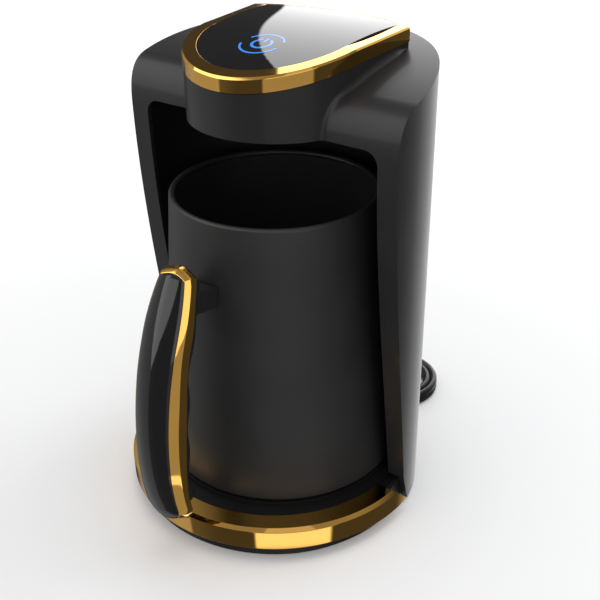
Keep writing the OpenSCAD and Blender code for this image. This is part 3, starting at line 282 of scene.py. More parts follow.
cord_pvc = plastic("cord_pvc", (0.012, 0.012, 0.013), 0.34, grain=0.25, grain_size=0.8)
out_route = [
    (-30, 57, 9), (-30, 70, 9), (-30, 79, 9), (-29.6, 84, 8.2), (-28.4, 88.5, 6.4),
    (-26, 92.8, 4.2), (-22.4, 96.4, 2.5), (-17.6, 99.2, 1.8), (-11.6, 101.6, 1.8), (-5, 104, 1.8)]
plug_route = [
    (5, 64.9, 5.2), (0, 65.1, 4.2), (-5, 65.4, 2.8), (-10, 65.8, 2), (-15, 66.3, 1.8),
    (-20, 67, 1.8), (-26, 67.9, 1.8), (-31, 68.8, 2.2), (-36, 69.8, 3.3), (-41, 70.8, 4.8),
    (-46, 71.6, 6.2), (-51, 72, 6.9), (-56, 72, 6.9), (-62, 72, 6.9)]


def eased(value, low, high):
    part = min(1, max(0, (value - low) / (high - low)))
    return part * part * (3 - 2 * part)


# three and a half turns in two layers: round outside, inward, up one layer, and outward again
coil_start, coil_sweep, coil_steps = 115, 1285, 65
inward, upward, outward = (290, 345), (585, 645), (890, 945)
turns_route = []
for step in range(coil_steps + 1):
    angle = coil_sweep * step / coil_steps
    radius = coil_mid_r + cord_d * (0.5 - eased(angle, *inward) + eased(angle, *outward))
    height = cord_d * (0.5 + eased(angle, *upward))
    toward = math.radians(coil_start - angle)
    turns_route.append((coil_x + radius * math.cos(toward), coil_y + radius * math.sin(toward),
                        height))
whole_route = [Vector((x, y + pot_y, z)) * mm for x, y, z in out_route + turns_route + plug_route]

line = bpy.data.curves.new("mains_cord", "CURVE")
line.dimensions = "3D"
run = line.splines.new("BEZIER")
run.bezier_points.add(len(whole_route) - 1)
for point, place in zip(run.bezier_points, whole_route):
    point.co = place
    point.handle_left_type = point.handle_right_type = "AUTO"
line.bevel_depth = cord_d / 2 * mm
line.bevel_resolution = 4
line.resolution_u = 8
line.use_fill_caps = True
mains_cord = bpy.data.objects.new("mains_cord", line)
bpy.context.scene.collection.objects.link(mains_cord)


def finish_piece(piece, material, slot, *nodes, body="base"):
    piece.data.materials.clear()
    piece.data.materials.append(material)
    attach(piece, body)
    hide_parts(*nodes)


finish_piece(mains_cord, cord_pvc, "cord_pvc", "power_cord", "cord_coil")

# ---- Body moulding ----
# One injection moulding in satin black ABS: round back, two columns beside the bay, shoulder, top
# and the nose that juts over the pot. Its edges are eased, and a small cove runs where the head
# stands on the front, the shoulder and the top.
foot_z, wall, over_all = 2.0, 2.4, 205
body_r, body_y = 67.8, -5.2              # round back and columns
bay_r, bay_y, bay_round = 59.3, -2.8, 6  # the pot's bay and the round under its ceiling
nose_r, nose_y = 38.0, 4.2               # the head's nose, its straight sides and its back
head_half, head_end_y, head_low_z = 39.3, 37.95, 174.5
back_r, back_y = 62.0, -10
top_crown = (200.6, 63.8, 250)           # height, place and radius of the body's crowned top
panel_high, panel_crest_y, panel_crown_r = 207.4, 29, 227
panel_step = 5.9                         # height of the panel's crown over the head's top
cove_r, cove_least, cove_fade, cove_end_y = 2.4, 0.15, (27, 38), 37.9


def ready(piece):
    bpy.ops.object.select_all(action="DESELECT")
    piece.select_set(True)
    bpy.context.view_layer.objects.active = piece


def closed(piece):
    """Joins doubled corners and turns the faces outward."""
    ready(piece)
    bpy.ops.object.transform_apply(location=True, rotation=True, scale=True)
    bpy.ops.object.mode_set(mode="EDIT")
    bpy.ops.mesh.select_all(action="SELECT")
    bpy.ops.mesh.remove_doubles(threshold=0.004 * mm)
    bpy.ops.mesh.normals_make_consistent(inside=False)
    bpy.ops.object.mode_set(mode="OBJECT")
    return piece


def drawn(name, outline, low, high, face="top"):
    """A block pushed out from a drawn outline: seen from the top, the side or the front."""
    put = {"top": lambda a, b, c: (a, b + pot_y, c), "side": lambda a, b, c: (c, a + pot_y, b),
           "front": lambda a, b, c: (a, c + pot_y, b)}[face]
    bpy.ops.object.select_all(action="DESELECT")
    bpy.ops.mesh.primitive_circle_add(vertices=len(outline), radius=1, fill_type="NGON")
    made = bpy.context.object
    made.name = name
    for corner, (a, b) in zip(made.data.vertices, outline):
        corner.co = Vector(put(a, b, low)) * mm
    push = (Vector(put(0, 0, high)) - Vector(put(0, 0, low))) * mm
    bpy.ops.object.mode_set(mode="EDIT")
    bpy.ops.mesh.select_all(action="SELECT")
    bpy.ops.mesh.extrude_region_move(TRANSFORM_OT_translate={"value": push})
    bpy.ops.object.mode_set(mode="OBJECT")
    return closed(made)


def turned(name, profile, y=0.0, sides=192, ring=False):
    """A round piece, drawn out ring by ring along its profile of (radius, height)."""
    path = [(max(radius, 0.001), height) for radius, height in profile]
    path = path + [path[0]] if ring else path
    bpy.ops.object.select_all(action="DESELECT")
    middle = (0, (y + pot_y) * mm)
    bpy.ops.mesh.primitive_circle_add(
        vertices=sides, radius=path[0][0] * mm, location=(*middle, path[0][1] * mm))
    made = bpy.context.object
    made.name = name
    bpy.ops.object.mode_set(mode="EDIT")
    bpy.ops.mesh.select_all(action="SELECT")
    for (r_0, z_0), (r_1, z_1) in zip(path, path[1:]):
        bpy.ops.mesh.extrude_edges_move(TRANSFORM_OT_translate={"value": (0, 0, (z_1 - z_0) * mm)})
        bpy.ops.transform.resize(value=(r_1 / r_0, r_1 / r_0, 1), center_override=(*middle, 0))
    bpy.ops.object.mode_set(mode="OBJECT")
    return closed(made)


def lofted(name, loops, ring=False):
    """A closed skin over loops of places with as many points each."""
    count, rows = len(loops[0]), len(loops)
    places = [(x * mm, (y + pot_y) * mm, z * mm) for loop in loops for x, y, z in loop]
    faces = [(i * count + j, i * count + (j + 1) % count,
              (i + 1) % rows * count + (j + 1) % count, (i + 1) % rows * count + j)
             for i in range(rows if ring else rows - 1) for j in range(count)]
    if not ring:
        faces += [tuple(range(count)), tuple(range((rows - 1) * count, rows * count))]
    shape = bpy.data.meshes.new(name)
    shape.from_pydata(places, [], faces)
    made = bpy.data.objects.new(name, shape)
    bpy.context.scene.collection.objects.link(made)
    return closed(made)


def merged(piece, near=0.05):
    ready(piece)
    bpy.ops.object.mode_set(mode="EDIT")
    bpy.ops.mesh.select_all(action="SELECT")
    bpy.ops.mesh.remove_doubles(threshold=near * mm)
    bpy.ops.object.mode_set(mode="OBJECT")
    return piece


def joined(piece, *others):
    ready(piece)
    for other in others:
        other.select_set(True)
    bpy.ops.object.join()
    return piece


def combined(piece, how, *tools):
    for tool in tools:
        ready(piece)
        change = piece.modifiers.new("cut", "BOOLEAN")
        change.operation, change.solver, change.object = how, "EXACT", tool
        bpy.ops.object.modifier_apply(modifier=change.name)
        bpy.data.objects.remove(tool)
    return piece


def eased_edges(piece, width, steps=2, angle=40):
    ready(piece)
    edge = piece.modifiers.new("edge", "BEVEL")
    edge.width, edge.segments, edge.limit_method = width * mm, steps, "ANGLE"
    edge.angle_limit, edge.use_clamp_overlap = math.radians(angle), True
    bpy.ops.object.modifier_apply(modifier=edge.name)
    return piece


def smooth(piece, angle=32):
    ready(piece)
    bpy.ops.object.shade_smooth_by_angle(angle=math.radians(angle))
    even = piece.modifiers.new("even", "WEIGHTED_NORMAL")
    even.keep_sharp = True
    bpy.ops.object.modifier_apply(modifier=even.name)
    return piece


def swung(a, b, c, d, steps):
    """Points of a smooth curve from a to d, drawn towards b and c."""
    a, b, c, d = (np.array(point, float) for point in (a, b, c, d))
    part = np.linspace(0, 1, steps + 1)[:, None]
    rest = 1 - part
    return rest**3 * a + 3 * rest**2 * part * b + 3 * rest * part**2 * c + part**3 * d


def moved_in(path, depth):
    """A line of (y, z) moved to its right by depth."""
    run = np.gradient(path, axis=0)
    run /= np.linalg.norm(run, axis=1)[:, None]
    return path + depth * np.stack([run[:, 1], -run[:, 0]], axis=1)


def crown(y, top, crest, radius):
    return top - radius + np.sqrt(radius**2 - (np.asarray(y) - crest)**2)


def panel_z(y, lower=0.0):
    """Height of the panel's crown, or of one that lies lower inside it."""
    return crown(y, panel_high - lower, panel_crest_y, panel_crown_r - lower)


# the front edge from the foot up, over the shoulder's round front and back along the top
face_y, shoulder_z, brow_y, brow_reach = -13.4, 172, -2, 8.6
brow_z = float(crown(brow_y, *top_crown))
brow_slope = (top_crown[1] - brow_y) / (brow_z - top_crown[0] + top_crown[2])
face_line = np.concatenate([
    [(7.9, foot_z)], swung((2.6, 16.4), (-5, 70), (face_y, 125), (face_y, shoulder_z), 40),
    swung((face_y, shoulder_z), (face_y, 183.2),
          (brow_y - brow_reach, brow_z - brow_reach * brow_slope), (brow_y, brow_z), 40)[1:]])
top_y = np.arange(0, 81, 2.0)
side_line = np.concatenate([face_line, np.stack([top_y, crown(top_y, *top_crown)], axis=1)])


def behind(line, low_z):
    return [(90, low_z), (line[0][0], low_z)] + [tuple(p) for p in line] + [(90, line[-1][1])]


def head_outline(inset, back_inset, count=144):
    """Outline of the head from above: round nose, straight sides, slightly round back."""
    radius, half, back = nose_r - inset, head_half - inset, back_r - back_inset
    rear = head_end_y - nose_y
    touch = math.atan2(rear, half) - math.acos(radius / math.hypot(half, rear))
    start = np.array([radius * math.cos(touch), nose_y + radius * math.sin(touch)])
    run = np.array([half, head_end_y]) - start
    run /= np.linalg.norm(run)
    lift = start - (0, back_y)
    corner = start + run * (-lift @ run + math.sqrt((lift @ run)**2 - lift @ lift + back**2))
    swing = math.atan2(corner[1] - back_y, corner[0])
    arc = [(back * math.cos(a), back_y + back * math.sin(a))
           for a in np.linspace(swing, math.pi - swing, 49)]
    nose = [(radius * math.cos(a), nose_y + radius * math.sin(a))
            for a in np.linspace(math.pi - touch, 2 * math.pi + touch, count + 1)]
    return arc + nose


def under_crown(name, lower, low_z=150):
    """A wide block below the panel's crown, or below one that lies lower inside it."""
    y = np.arange(-60, 91, 2.5)
    return drawn(name, [(90, low_z), (-60, low_z)] + list(zip(y, panel_z(y, lower))), -90, 90,
                 face="side")


# outside form
body_moulding = combined(
    turned("body_moulding", [(0, foot_z), (body_r, foot_z), (body_r, over_all), (0, over_all)],
           y=body_y, sides=240),
    "INTERSECT", drawn("side_form", behind(side_line, 1), -80, 80, face="side"))
head_form = combined(drawn("head_form", head_outline(0, 0), head_low_z, 209), "INTERSECT",
                     under_crown("head_top", panel_step))
combined(body_moulding, "UNION", head_form)
# hollow of the columns and the back, the nose, the bay, the room for the base and the cord's hole
hollow_r = body_r - wall
hollow = combined(
    turned("hollow", [(0, 0), (hollow_r, 0), (hollow_r, over_all), (0, over_all)], y=body_y,
           sides=160),
    "INTERSECT", drawn("hollow_side", behind(moved_in(side_line, wall), 0.5), -80, 80, face="side"))
bay_arch = [(bay_r - bay_round + bay_round * math.cos(a),
             head_low_z - bay_round + bay_round * math.sin(a))
            for a in np.linspace(0, math.pi / 2, 13)]
bay = turned("bay", [(0, -2), (bay_r, -2)] + bay_arch + [(0, head_low_z)], y=bay_y, sides=200)
room_y, room_r, room_body_r, room_z = -4.0, 66.7, 65.0, 16.9
exit_x, exit_z, exit_r = -30, 9, 4.3


def round_reach(angle, radius, centre):
    """How far a circle lies from the middle of the base's room."""
    lift = room_y - centre
    return -lift * math.sin(angle) + math.sqrt(radius**2 - (lift * math.cos(angle))**2)


room_edge = []
for angle in np.linspace(0, 2 * math.pi, 161)[:-1]:
    reach = min(round_reach(angle, room_r, bay_y), round_reach(angle, room_body_r, body_y))
    room_edge.append((reach * math.cos(angle), room_y + reach * math.sin(angle)))
base_room = drawn("base_room", room_edge, -1, room_z)
cord_hole = drawn("cord_hole", [
    (exit_x + exit_r * math.cos(a), exit_z + exit_r * math.sin(a))
    for a in np.linspace(0, 2 * math.pi, 49)[:-1]], 45, 70, face="front")
combined(body_moulding, "DIFFERENCE", hollow,
         drawn("nose_hollow", head_outline(wall, wall, 72), head_low_z - 1, 210), bay, base_room,
         cord_hole)
eased_edges(merged(body_moulding, 0.06), 0.35)

# cove, drawn along the right side in the corner between the head's wall and the face it stands on
facing = np.gradient(side_line, axis=0)
facing /= np.linalg.norm(facing, axis=1)[:, None]
facing = np.stack([-facing[:, 1], facing[:, 0]], axis=1)
along = np.concatenate([[0], np.cumsum(np.linalg.norm(np.diff(side_line, axis=0), axis=1))])
start_at = np.interp(head_low_z, side_line[:81, 1], along[:81])
end_at = np.interp(cove_end_y, side_line[60:, 0], along[60:])
flank_start, flank_end = (np.array(head_outline(0, 0)[k]) for k in (-1, 0))
flank_run = (flank_end - flank_start) / np.linalg.norm(flank_end - flank_start)
flank_out = np.array([flank_run[1], -flank_run[0]])
loops = []
for at in np.linspace(start_at, end_at, 130):
    y, z = (np.interp(at, along, side_line[:, k]) for k in (0, 1))
    out_y, out_z = (np.interp(at, along, facing[:, k]) for k in (0, 1))
    most = 0.8 * (panel_z(y) - panel_step - z) if y > brow_y else cove_r
    radius = min(cove_r, most) * (1 - eased(y, *cove_fade)) + cove_least
    centre = np.array([0, y + radius * out_y, z + radius * out_z])
    touch_y = flank_start[1] + radius * flank_out[1]
    if centre[1] < touch_y:
        centre[0] = math.sqrt((nose_r + radius)**2 - (centre[1] - nose_y)**2)
        wall_out = np.array([centre[0], centre[1] - nose_y, 0]) / (nose_r + radius)
    else:
        part = (centre[1] - touch_y) / flank_run[1]
        centre[0] = flank_start[0] + radius * flank_out[0] + part * flank_run[0]
        wall_out = np.array([flank_out[0], flank_out[1], 0])
    face_out = np.array([0, out_y, out_z])
    span = math.acos(float(wall_out @ face_out))
    loop = [centre - radius * (math.sin((1 - t) * span) * wall_out + math.sin(t * span) * face_out)
            / math.sin(span) for t in np.linspace(0, 1, 19)]
    # the root lies a little inside the corner
    loop.append(centre - 1.12 * radius * (wall_out + face_out) / (1 + float(wall_out @ face_out)))
    loops.append(loop)
for point in loops[0]:
    point[2] = head_low_z
joined(body_moulding, *(
    lofted("cove", [[(hand * x, y, z) for x, y, z in loop] for loop in loops]) for hand in (1, -1)))
smooth(body_moulding)
body_satin = plastic("body_satin", (0.019, 0.019, 0.0195), 0.4, grain=0.05, wear=0.03,
                     specular=0.3, coat=0.1)
finish_piece(body_moulding, body_satin, "body_satin", "body_shell")

# ---- Gold frame of the touch panel ----
# Vacuum-metallised ABS frame, snapped onto the head. It carries the glass on a ledge and has a
# narrow bright facet along its outer top edge.


def frame_loop(inset, back_inset, lower):
    return [(x, y, float(panel_z(y)) - lower) for x, y in head_outline(inset, back_inset)]


# insets at the sides and at the back, and depth: skirt, facet, flat top, ledge for the glass
gold_frame = lofted("gold_frame", [frame_loop(*row) for row in (
    (-0.3, -0.3, 5.75), (-0.3, -0.3, 0.85), (-0.24, -0.24, 0.68), (0.42, 0.2, 0.07),
    (0.62, 0.36, 0.0), (5.62, 1.82, 0.0), (5.7, 1.9, 0.05), (5.7, 1.9, 2.9), (7.7, 3.9, 2.9),
    (7.7, 3.9, 5.75))], ring=True)
smooth(gold_frame, 20)


def plated(name, colour, rough):
    """Bright metal, as on plated plastic and rolled sheet."""
    made, shader, _ = drifting(name, colour, (0.94, 1.0), (rough * 0.7, rough * 1.3), 60, 2)
    shader.inputs["Metallic"].default_value = 1
    return made


gold_plate = plated("gold_plate", (1.0, 0.56, 0.13), 0.05)
finish_piece(gold_frame, gold_plate, "gold_plate", "panel_trim")

# ---- Touch glass ----
# Black-backed tempered glass with a finely ground edge, bonded onto the frame's ledge. It is bent
# to the same crown as the frame and lies a hair below it.
glass_in, glass_back_in, glass_low, glass_thick = 5.74, 1.94, 0.08, 2.67
touch_cover = combined(
    drawn("touch_cover", head_outline(glass_in, glass_back_in), 190, 212), "INTERSECT",
    under_crown("cover_top", glass_low))
combined(touch_cover, "DIFFERENCE", under_crown("cover_low", glass_low + glass_thick, 140))
smooth(eased_edges(merged(touch_cover), 0.1, angle=50), 28)
panel_glass = plastic("panel_glass", (0.011, 0.011, 0.012), 0.015, wear=0.006, tint=0.06)
finish_piece(touch_cover, panel_glass, "panel_glass", "touch_glass")

# ---- Lit mark of the power key ----
# Printed window in the glass's backing, shown lit blue from below by a glow painted into the mark:
# a ring with a bar, inside two arcs.
# Each is a band with round ends, cut to a film that follows the glass.
key_y, bar_r, bar_low, bar_high = -6.2, 0.55, 1.9, 4.3
film_top, film_low, slab = 0.03, 0.1, (200, 209)
mark_parts = []
for radius, width, start, end in (
        (4.0, 1.15, 125, 415), (8.7, 0.85, 25, 154), (8.7, 0.85, 198, 345)):
    sweep = np.radians(np.linspace(start, end, 49))
    end_turns = np.linspace(0.4, math.pi - 0.4, 5)
    spots = [(radius + width / 2, a, 0, 0) for a in sweep]
    spots += [(radius, sweep[-1], width / 2, sweep[-1] + a) for a in end_turns]
    spots += [(radius - width / 2, a, 0, 0) for a in sweep[::-1]]
    spots += [(radius, sweep[0], -width / 2, sweep[0] + a) for a in end_turns]
    mark_parts.append(drawn("mark_band", [
        (far * math.cos(a) + near * math.cos(b), key_y + far * math.sin(a) + near * math.sin(b))
        for far, a, near, b in spots], *slab))
mark_parts.append(drawn("mark_bar", [
    (bar_r * math.cos(a), key_y + (bar_low if a < 0 else bar_high) + bar_r * math.sin(a))
    for a in np.radians([-180, -150, -120, -90, -60, -30, -0.01, 0.01, 30, 60, 90, 120, 150])],
    *slab))
key_mark = joined(*mark_parts)
key_mark.name = "key_mark"
combined(key_mark, "INTERSECT", combined(
    under_crown("mark_top", film_top), "DIFFERENCE", under_crown("mark_low", film_low, 140)))
smooth(key_mark, 28)
key_light = plastic("key_light", (0.02, 0.06, 0.16), 0.03, wear=0.006)


def shader_of(material):
    return next(node for node in material.node_tree.nodes if node.type == "BSDF_PRINCIPLED")


# painted light: the blue glow is emission in the mark's own material, with no lamp below the glass
shader_of(key_light).inputs["Emission Color"].default_value = (0.05, 0.29, 1.0, 1)
shader_of(key_light).inputs["Emission Strength"].default_value = 0.85
finish_piece(key_mark, key_light, "key_light", "power_key_mark")

# ---- Gold ring of the base ----
# Vacuum-metallised ABS ring clipped to the base tray, with a bevelled top edge. Its two ends butt
# against the columns' front faces, whose foot leans back.
butt_y, butt_z, butt_facing = 7.6, 2, (0, 14.4, 5.3)
ring_profile = [(66.8, 7.1), (67.0, 6.9), (69.25, 6.9), (69.42, 6.97), (69.5, 7.15), (69.5, 15.75),
                (69.4, 16.0), (67.75, 17.14), (67.5, 17.2), (59.75, 17.2), (59.6, 17.05),
                (59.6, 15.2), (66.8, 15.2)]
gold_ring = turned("gold_ring", ring_profile, y=bay_y, sides=256, ring=True)
bpy.ops.object.mode_set(mode="EDIT")
bpy.ops.mesh.select_all(action="SELECT")
bpy.ops.mesh.bisect(plane_co=(0, (butt_y + pot_y) * mm, butt_z * mm), plane_no=butt_facing,
                    use_fill=True, clear_outer=True)
bpy.ops.object.mode_set(mode="OBJECT")
smooth(eased_edges(closed(gold_ring), 0.15, angle=60), 28)
finish_piece(gold_ring, gold_plate, "gold_plate", "base_ring")

# ---- Light guide, boards and their parts ----
# Clear polycarbonate guide under the glass, glass-fibre boards with green solder resist, and the
# soldered parts: relay in a blue case, sleeved capacitor, black buzzer, nylon connector, leads.


def board_finish(name, colour):
    """Solder resist over fine tracks, seen as slightly lighter lines in it."""
    made = plastic(name, colour, 0.32, grain=0.15, coat=0.3, coat_rough=0.12)
    nodes, links = made.node_tree.nodes, made.node_tree.links
    place = nodes.new("ShaderNodeTexCoord")
    tracks = nodes.new("ShaderNodeTexBrick")
    tracks.inputs["Color1"].default_value = colour + (1,)
    tracks.inputs["Color2"].default_value = tuple(value * 1.25 for value in colour) + (1,)
    tracks.inputs["Mortar"].default_value = tuple(value * 2.1 for value in colour) + (1,)
    tracks.inputs["Scale"].default_value = 170
    tracks.inputs["Mortar Size"].default_value = 0.03
    links.new(place.outputs["Object"], tracks.inputs["Vector"])
    links.new(tracks.outputs["Color"], shader_of(made).inputs["Base Color"])
    return made


def dress(node, finish):
    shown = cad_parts[node]
    shown.data.materials.clear()
    shown.data.materials.append(finish)


clear_guide = plastic("clear_guide", (0.72, 0.78, 0.82), 0.12, tint=0.04)
shader_of(clear_guide).inputs["Transmission Weight"].default_value = 0.75
board_green = board_finish("board_green", (0.013, 0.10, 0.035))
relay_blue = plastic("relay_blue", (0.012, 0.05, 0.19), 0.3)
can_sleeve = plastic("can_sleeve", (0.035, 0.042, 0.055), 0.26, coat=0.2)
inner_black = plastic("inner_black", (0.012, 0.012, 0.013), 0.45, grain=0.3)
nylon_white = plastic("nylon_white", (0.72, 0.70, 0.64), 0.38, grain=0.15, tint=0.05)
lead_brown = plastic("lead_brown", (0.12, 0.045, 0.018), 0.4, tint=0.1)
for node, finish in (
        ("light_guide", clear_guide), ("touch_board", board_green), ("power_board", board_green),
        ("relay", relay_blue), ("capacitor", can_sleeve), ("buzzer", inner_black),
        ("lead_connector", nylon_white), ("wiring_leads", lead_brown)):
    dress(node, finish)

# ---- Screws ----
# Zinc-plated steel screws with pan heads, faintly satin from the barrel plating. They hold the
# boards, the plate's legs, the base tray and the pot's arm.
screw_steel = plated("screw_steel", (0.60, 0.60, 0.61), 0.24)
for node in ("touch_board_screws", "power_board_screws", "plate_screws", "base_screws",
             "handle_screws"):
    dress(node, screw_steel)

# ---- Boil sensor over the pot ----
# Dark red infra-red window set in the bay's ceiling, looking down into the pot, in a black ABS
# holder that is clipped above it.
lens_dark = plastic("lens_dark", (0.022, 0.003, 0.004), 0.08, tint=0.05, coat=0.3)
dress("boil_sensor_lens", lens_dark)
dress("boil_sensor_holder", inner_black)

# ---- Bay liner, head underside and bay floor ----
# Matt black mouldings in heat-proof nylon that line the pot's bay. The liner stands in the body,
# the underside closes the head, and the floor lies round the heating plate.
bay_black = plastic("bay_black", (0.006, 0.006, 0.0062), 0.42, grain=0.1)
for node in ("bay_liner", "head_underside", "bay_floor"):
    dress(node, bay_black)

# ---- Base tray and feet ----
# Black glass-filled tray with air slots, screwed up into the body. Four soft rubber feet are
# pressed into it, and a rubber seal lies round the heating plate.
tray_black = plastic("tray_black", (0.010, 0.010, 0.0105), 0.5, grain=0.35, specular=0.4)
black_rubber = plastic("black_rubber", (0.008, 0.008, 0.008), 0.62, grain=0.3, specular=0.3)
dress("base_tray", tray_black)
dress("feet", black_rubber)
dress("plate_seal", black_rubber)

# ---- Heating plate, element and shield ----
# Pressed plate with a dark non-stick coat, a tubular element clinched below it, and a bright
# aluminium shield under both.
plate_coated = plastic("plate_coated", (0.020, 0.020, 0.022), 0.3, grain=0.25, grain_size=0.6)
element_grey = plated("element_grey", (0.26, 0.26, 0.27), 0.42)
bright_sheet = plated("bright_sheet", (0.72, 0.73, 0.74), 0.22)
dress("heating_plate", plate_coated)
dress("heating_element", element_grey)
dress("heat_shield", bright_sheet)

# ---- Spring of the temperature sensor ----
# Three turns of hard-drawn steel wire, coiled on a mandrel. It stands in the sensor's cup, pushes
# the cap up, and is squeezed by the cap's whole travel.
wire_r, coil_turns, turn_steps = 0.45, 3, 32
spring_low, spring_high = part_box("sensor_spring")
spring_r = (spring_high[0] - spring_low[0]) / 2 / mm - wire_r
loops = []
for step, height in enumerate(np.linspace(
        spring_low[2] / mm + wire_r, spring_high[2] / mm - wire_r, turn_steps * coil_turns + 1)):
    toward = 2 * math.pi * step / turn_steps
    loops.append([
        ((spring_r + wire_r * math.cos(a)) * math.cos(toward),
         (spring_r + wire_r * math.cos(a)) * math.sin(toward), height + wire_r * math.sin(a))
        for a in np.linspace(0, 2 * math.pi, 11)[:-1]])
coil_spring = smooth(lofted("coil_spring", loops), 60)
spring_steel = plated("spring_steel", (0.50, 0.50, 0.51), 0.2)
finish_piece(coil_spring, spring_steel, "spring_steel", "sensor_spring")
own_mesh(coil_spring)

# ---- Temperature sensor and fuse ----
# Sprung aluminium cap with its probe, held in a pressed cup in the plate's middle, and a ceramic
# thermal fuse, held against the plate by a sheet clip.
fuse_ceramic = plastic("fuse_ceramic", (0.62, 0.60, 0.55), 0.5, grain=0.3, tint=0.06)
for node, finish in (
        ("sensor_cup", bright_sheet), ("sensor_cap", bright_sheet), ("sensor_probe", inner_black),
        ("thermal_fuse", fuse_ceramic), ("fuse_clip", bright_sheet)):
    dress(node, finish)

# ---- Terminal block and cord clamp ----
# Nylon block where the mains lead ends, with its wires screwed in, and a black clamp that is
# screwed down over the lead on the base tray.
dress("terminal_block", nylon_white)
dress("cord_clamp", inner_black)

# ---- Pot ----
# Deep-drawn steel pot with a satin black non-stick coat outside and in, and a bright disc
# pressed into its underside for the heat.
pot_coated = plastic("pot_coated", (0.022, 0.022, 0.022), 0.44, grain=0.12, specular=0.42)
dress("pot_vessel", pot_coated)
dress("pot_base_disc", bright_sheet)

# ---- Handle of the pot: glossy front ----
# Piano-black ABS shell with a crowned front. Its plug presses into the gold band, and it runs out
# in a shallow peak at the top and a round toe at the foot.
handle_low, handle_top, handle_half = 19.4, 129.7, 9.0
peak_half, peak_drop, peak_fall = 6.1, 1.2, 0.4
seam, shell_crown, plug_gap, plug_deep = 0.12, 2.6, 1.6, 3.0
edge_line = np.concatenate([
    swung((-79.3, 18.4), (-85.9, 33.4), (-86.3, 57.4), (-82.3, 79.4), 40),
    swung((-82.3, 79.4), (-78.9, 98.4), (-72.5, 111.4), (-64.5, 129.4), 40)[1:], [(-62.3, 134.4)]])


def handle_at(z, depth):
    """Place (y, z) behind the handle's front edge line, square to it."""
    y, over, under = np.interp((z, z + 1, z - 1), edge_line[:, 1], edge_line[:, 0])
    size = math.hypot(2, under - over)
    return np.array([y + depth * 2 / size, z + depth * (under - over) / size])


toe = [(handle_half * math.cos(a), handle_low + handle_half * (1 + math.sin(a)))
       for a in np.radians(np.linspace(-90, 0, 25))]
flanks = [(handle_half, z) for z in np.linspace(32, 102, 29)]
crest = [tuple(place) for place in swung(
    (handle_half, 105.6), (handle_half, 115), (7.6, 123), (6.3, 128.2), 22)]
peak = [(x, handle_top - peak_drop * (x / peak_half)**2 - peak_fall * x / peak_half)
        for x in (5.8, 5.2, 4.4, 3.5, 2.6, 1.7, 0.9, 0)]
half_line = np.array(toe + flanks + crest + peak)


def half_in(inset):
    """The right half of the handle's outline, from the front, moved in."""
    run = np.gradient(half_line, axis=0)
    run /= np.linalg.norm(run, axis=1)[:, None]
    inner = half_line - inset * np.stack([run[:, 1], -run[:, 0]], axis=1)
    inner[0] = (0, handle_low + inset)
    inner[-1] = (0, handle_top - inset)
    inner[:, 0] = np.maximum(inner[:, 0], 0)
    return inner


loops = []
for width, z in half_in(seam)[1:-1]:
    plug = 1 - min(0.9, plug_gap / width)
    spots = [(u, -shell_crown * width / handle_half * (1 - u * u) - 0.1 + seam * abs(u)**24)
             for u in np.linspace(-1, 1, 29)]
    spots += [(1, seam), (plug, seam), (plug, plug_deep), (-plug, plug_deep), (-plug, seam),
              (-1, seam)]
    loops.append([(u * width, *handle_at(z, depth)) for u, depth in spots])
handle_front = smooth(lofted("handle_front", loops), 40)
handle_gloss = plastic("handle_gloss", (0.012, 0.012, 0.013), 0.06, wear=0.015, tint=0.06)
finish_piece(handle_front, handle_gloss, "handle_gloss", "handle_shell", body="pot")

# ---- Handle of the pot: gold band ----
# Metallised ABS band round the handle. One facet flares out from the glossy front to a soft
# ridge, a steeper one, widest at mid height, follows, and a lip turns in to the grip.
swell_low = 25.4


def swell(z, length):
    """0 at the ends of a length of the handle and 1 at its middle."""
    return math.sin(math.pi * min(max((z - swell_low) / length, 0), 1))**2


def band_end(z):
    return 5.3 + 1.4 * swell(z, 86) - 0.8 * eased(z, 108, 124)


edge_points = half_in(0)
outward = half_in(-1) - edge_points
half_loops = []
for (x, z), (aside, lift) in zip(edge_points, outward):
    lip = band_end(z) - 0.6
    flare = 2.7 - 0.9 * eased(z, 78, 108)
    slant = flare + 0.5 * (lip - flare - 0.2)
    half_loops.append([
        (max(0, x + out * aside), *handle_at(z + out * lift, depth)) for out, depth in (
            (-1.5, 0.3), (-0.06, 0.14), (0.12, 0.2), (0.5 * flare, 0.5 * flare),
            (flare - 0.35, flare - 0.3), (flare, flare + 0.2), (flare + 0.12, flare + 0.45),
            (slant - 0.1, lip - 0.2), (slant, lip + 0.05), (slant - 0.15, lip + 0.3),
            (slant - 0.6, lip + 0.5), (1.5, lip + 0.6), (-1.5, lip + 0.6))])
loops = half_loops + [[(-x, y, z) for x, y, z in loop] for loop in half_loops[-2:0:-1]]
handle_band = smooth(lofted("handle_band", loops, ring=True), 24)
finish_piece(handle_band, gold_plate, "gold_plate", "handle_trim", body="pot")

# ---- Handle of the pot: grip ----
# Black nylon core inside and behind the gold band, with rounded back corners and three shallow
# waves for the fingers. A pocket in its back takes the arm's plate.
core_in, waist_in, grip_deep, wave_high, wave_long, back_round = 1.65, 0.6, 11.8, 0.7, 26, 1.9
loops = []
for (core_w, _), (wide, z) in list(zip(half_in(core_in), half_in(waist_in)))[1:-1]:
    deep = band_end(z)
    back = grip_deep + 2.2 * swell(z, 82) - 1.5 * eased(z, 112, 128)
    back += wave_high * math.sin(2 * math.pi * (z - handle_low) / wave_long)
    bend = min(back_round, 0.6 * wide)
    half = [(core_w, 3.15), (core_w, deep - 0.2), (core_w, deep + 0.15), (wide - 0.25, deep + 0.15),
            (wide, deep + 0.4)]
    half += [(wide - bend + bend * math.cos(a), back - bend + bend * math.sin(a))
             for a in np.radians(np.linspace(0, 90, 7))]
    half += [(0.5 * (wide - bend), back)]
    loops.append([(x, *handle_at(z, depth))
                  for x, depth in half + [(-x, depth) for x, depth in half[::-1]]])
handle_core = lofted("handle_core", loops)
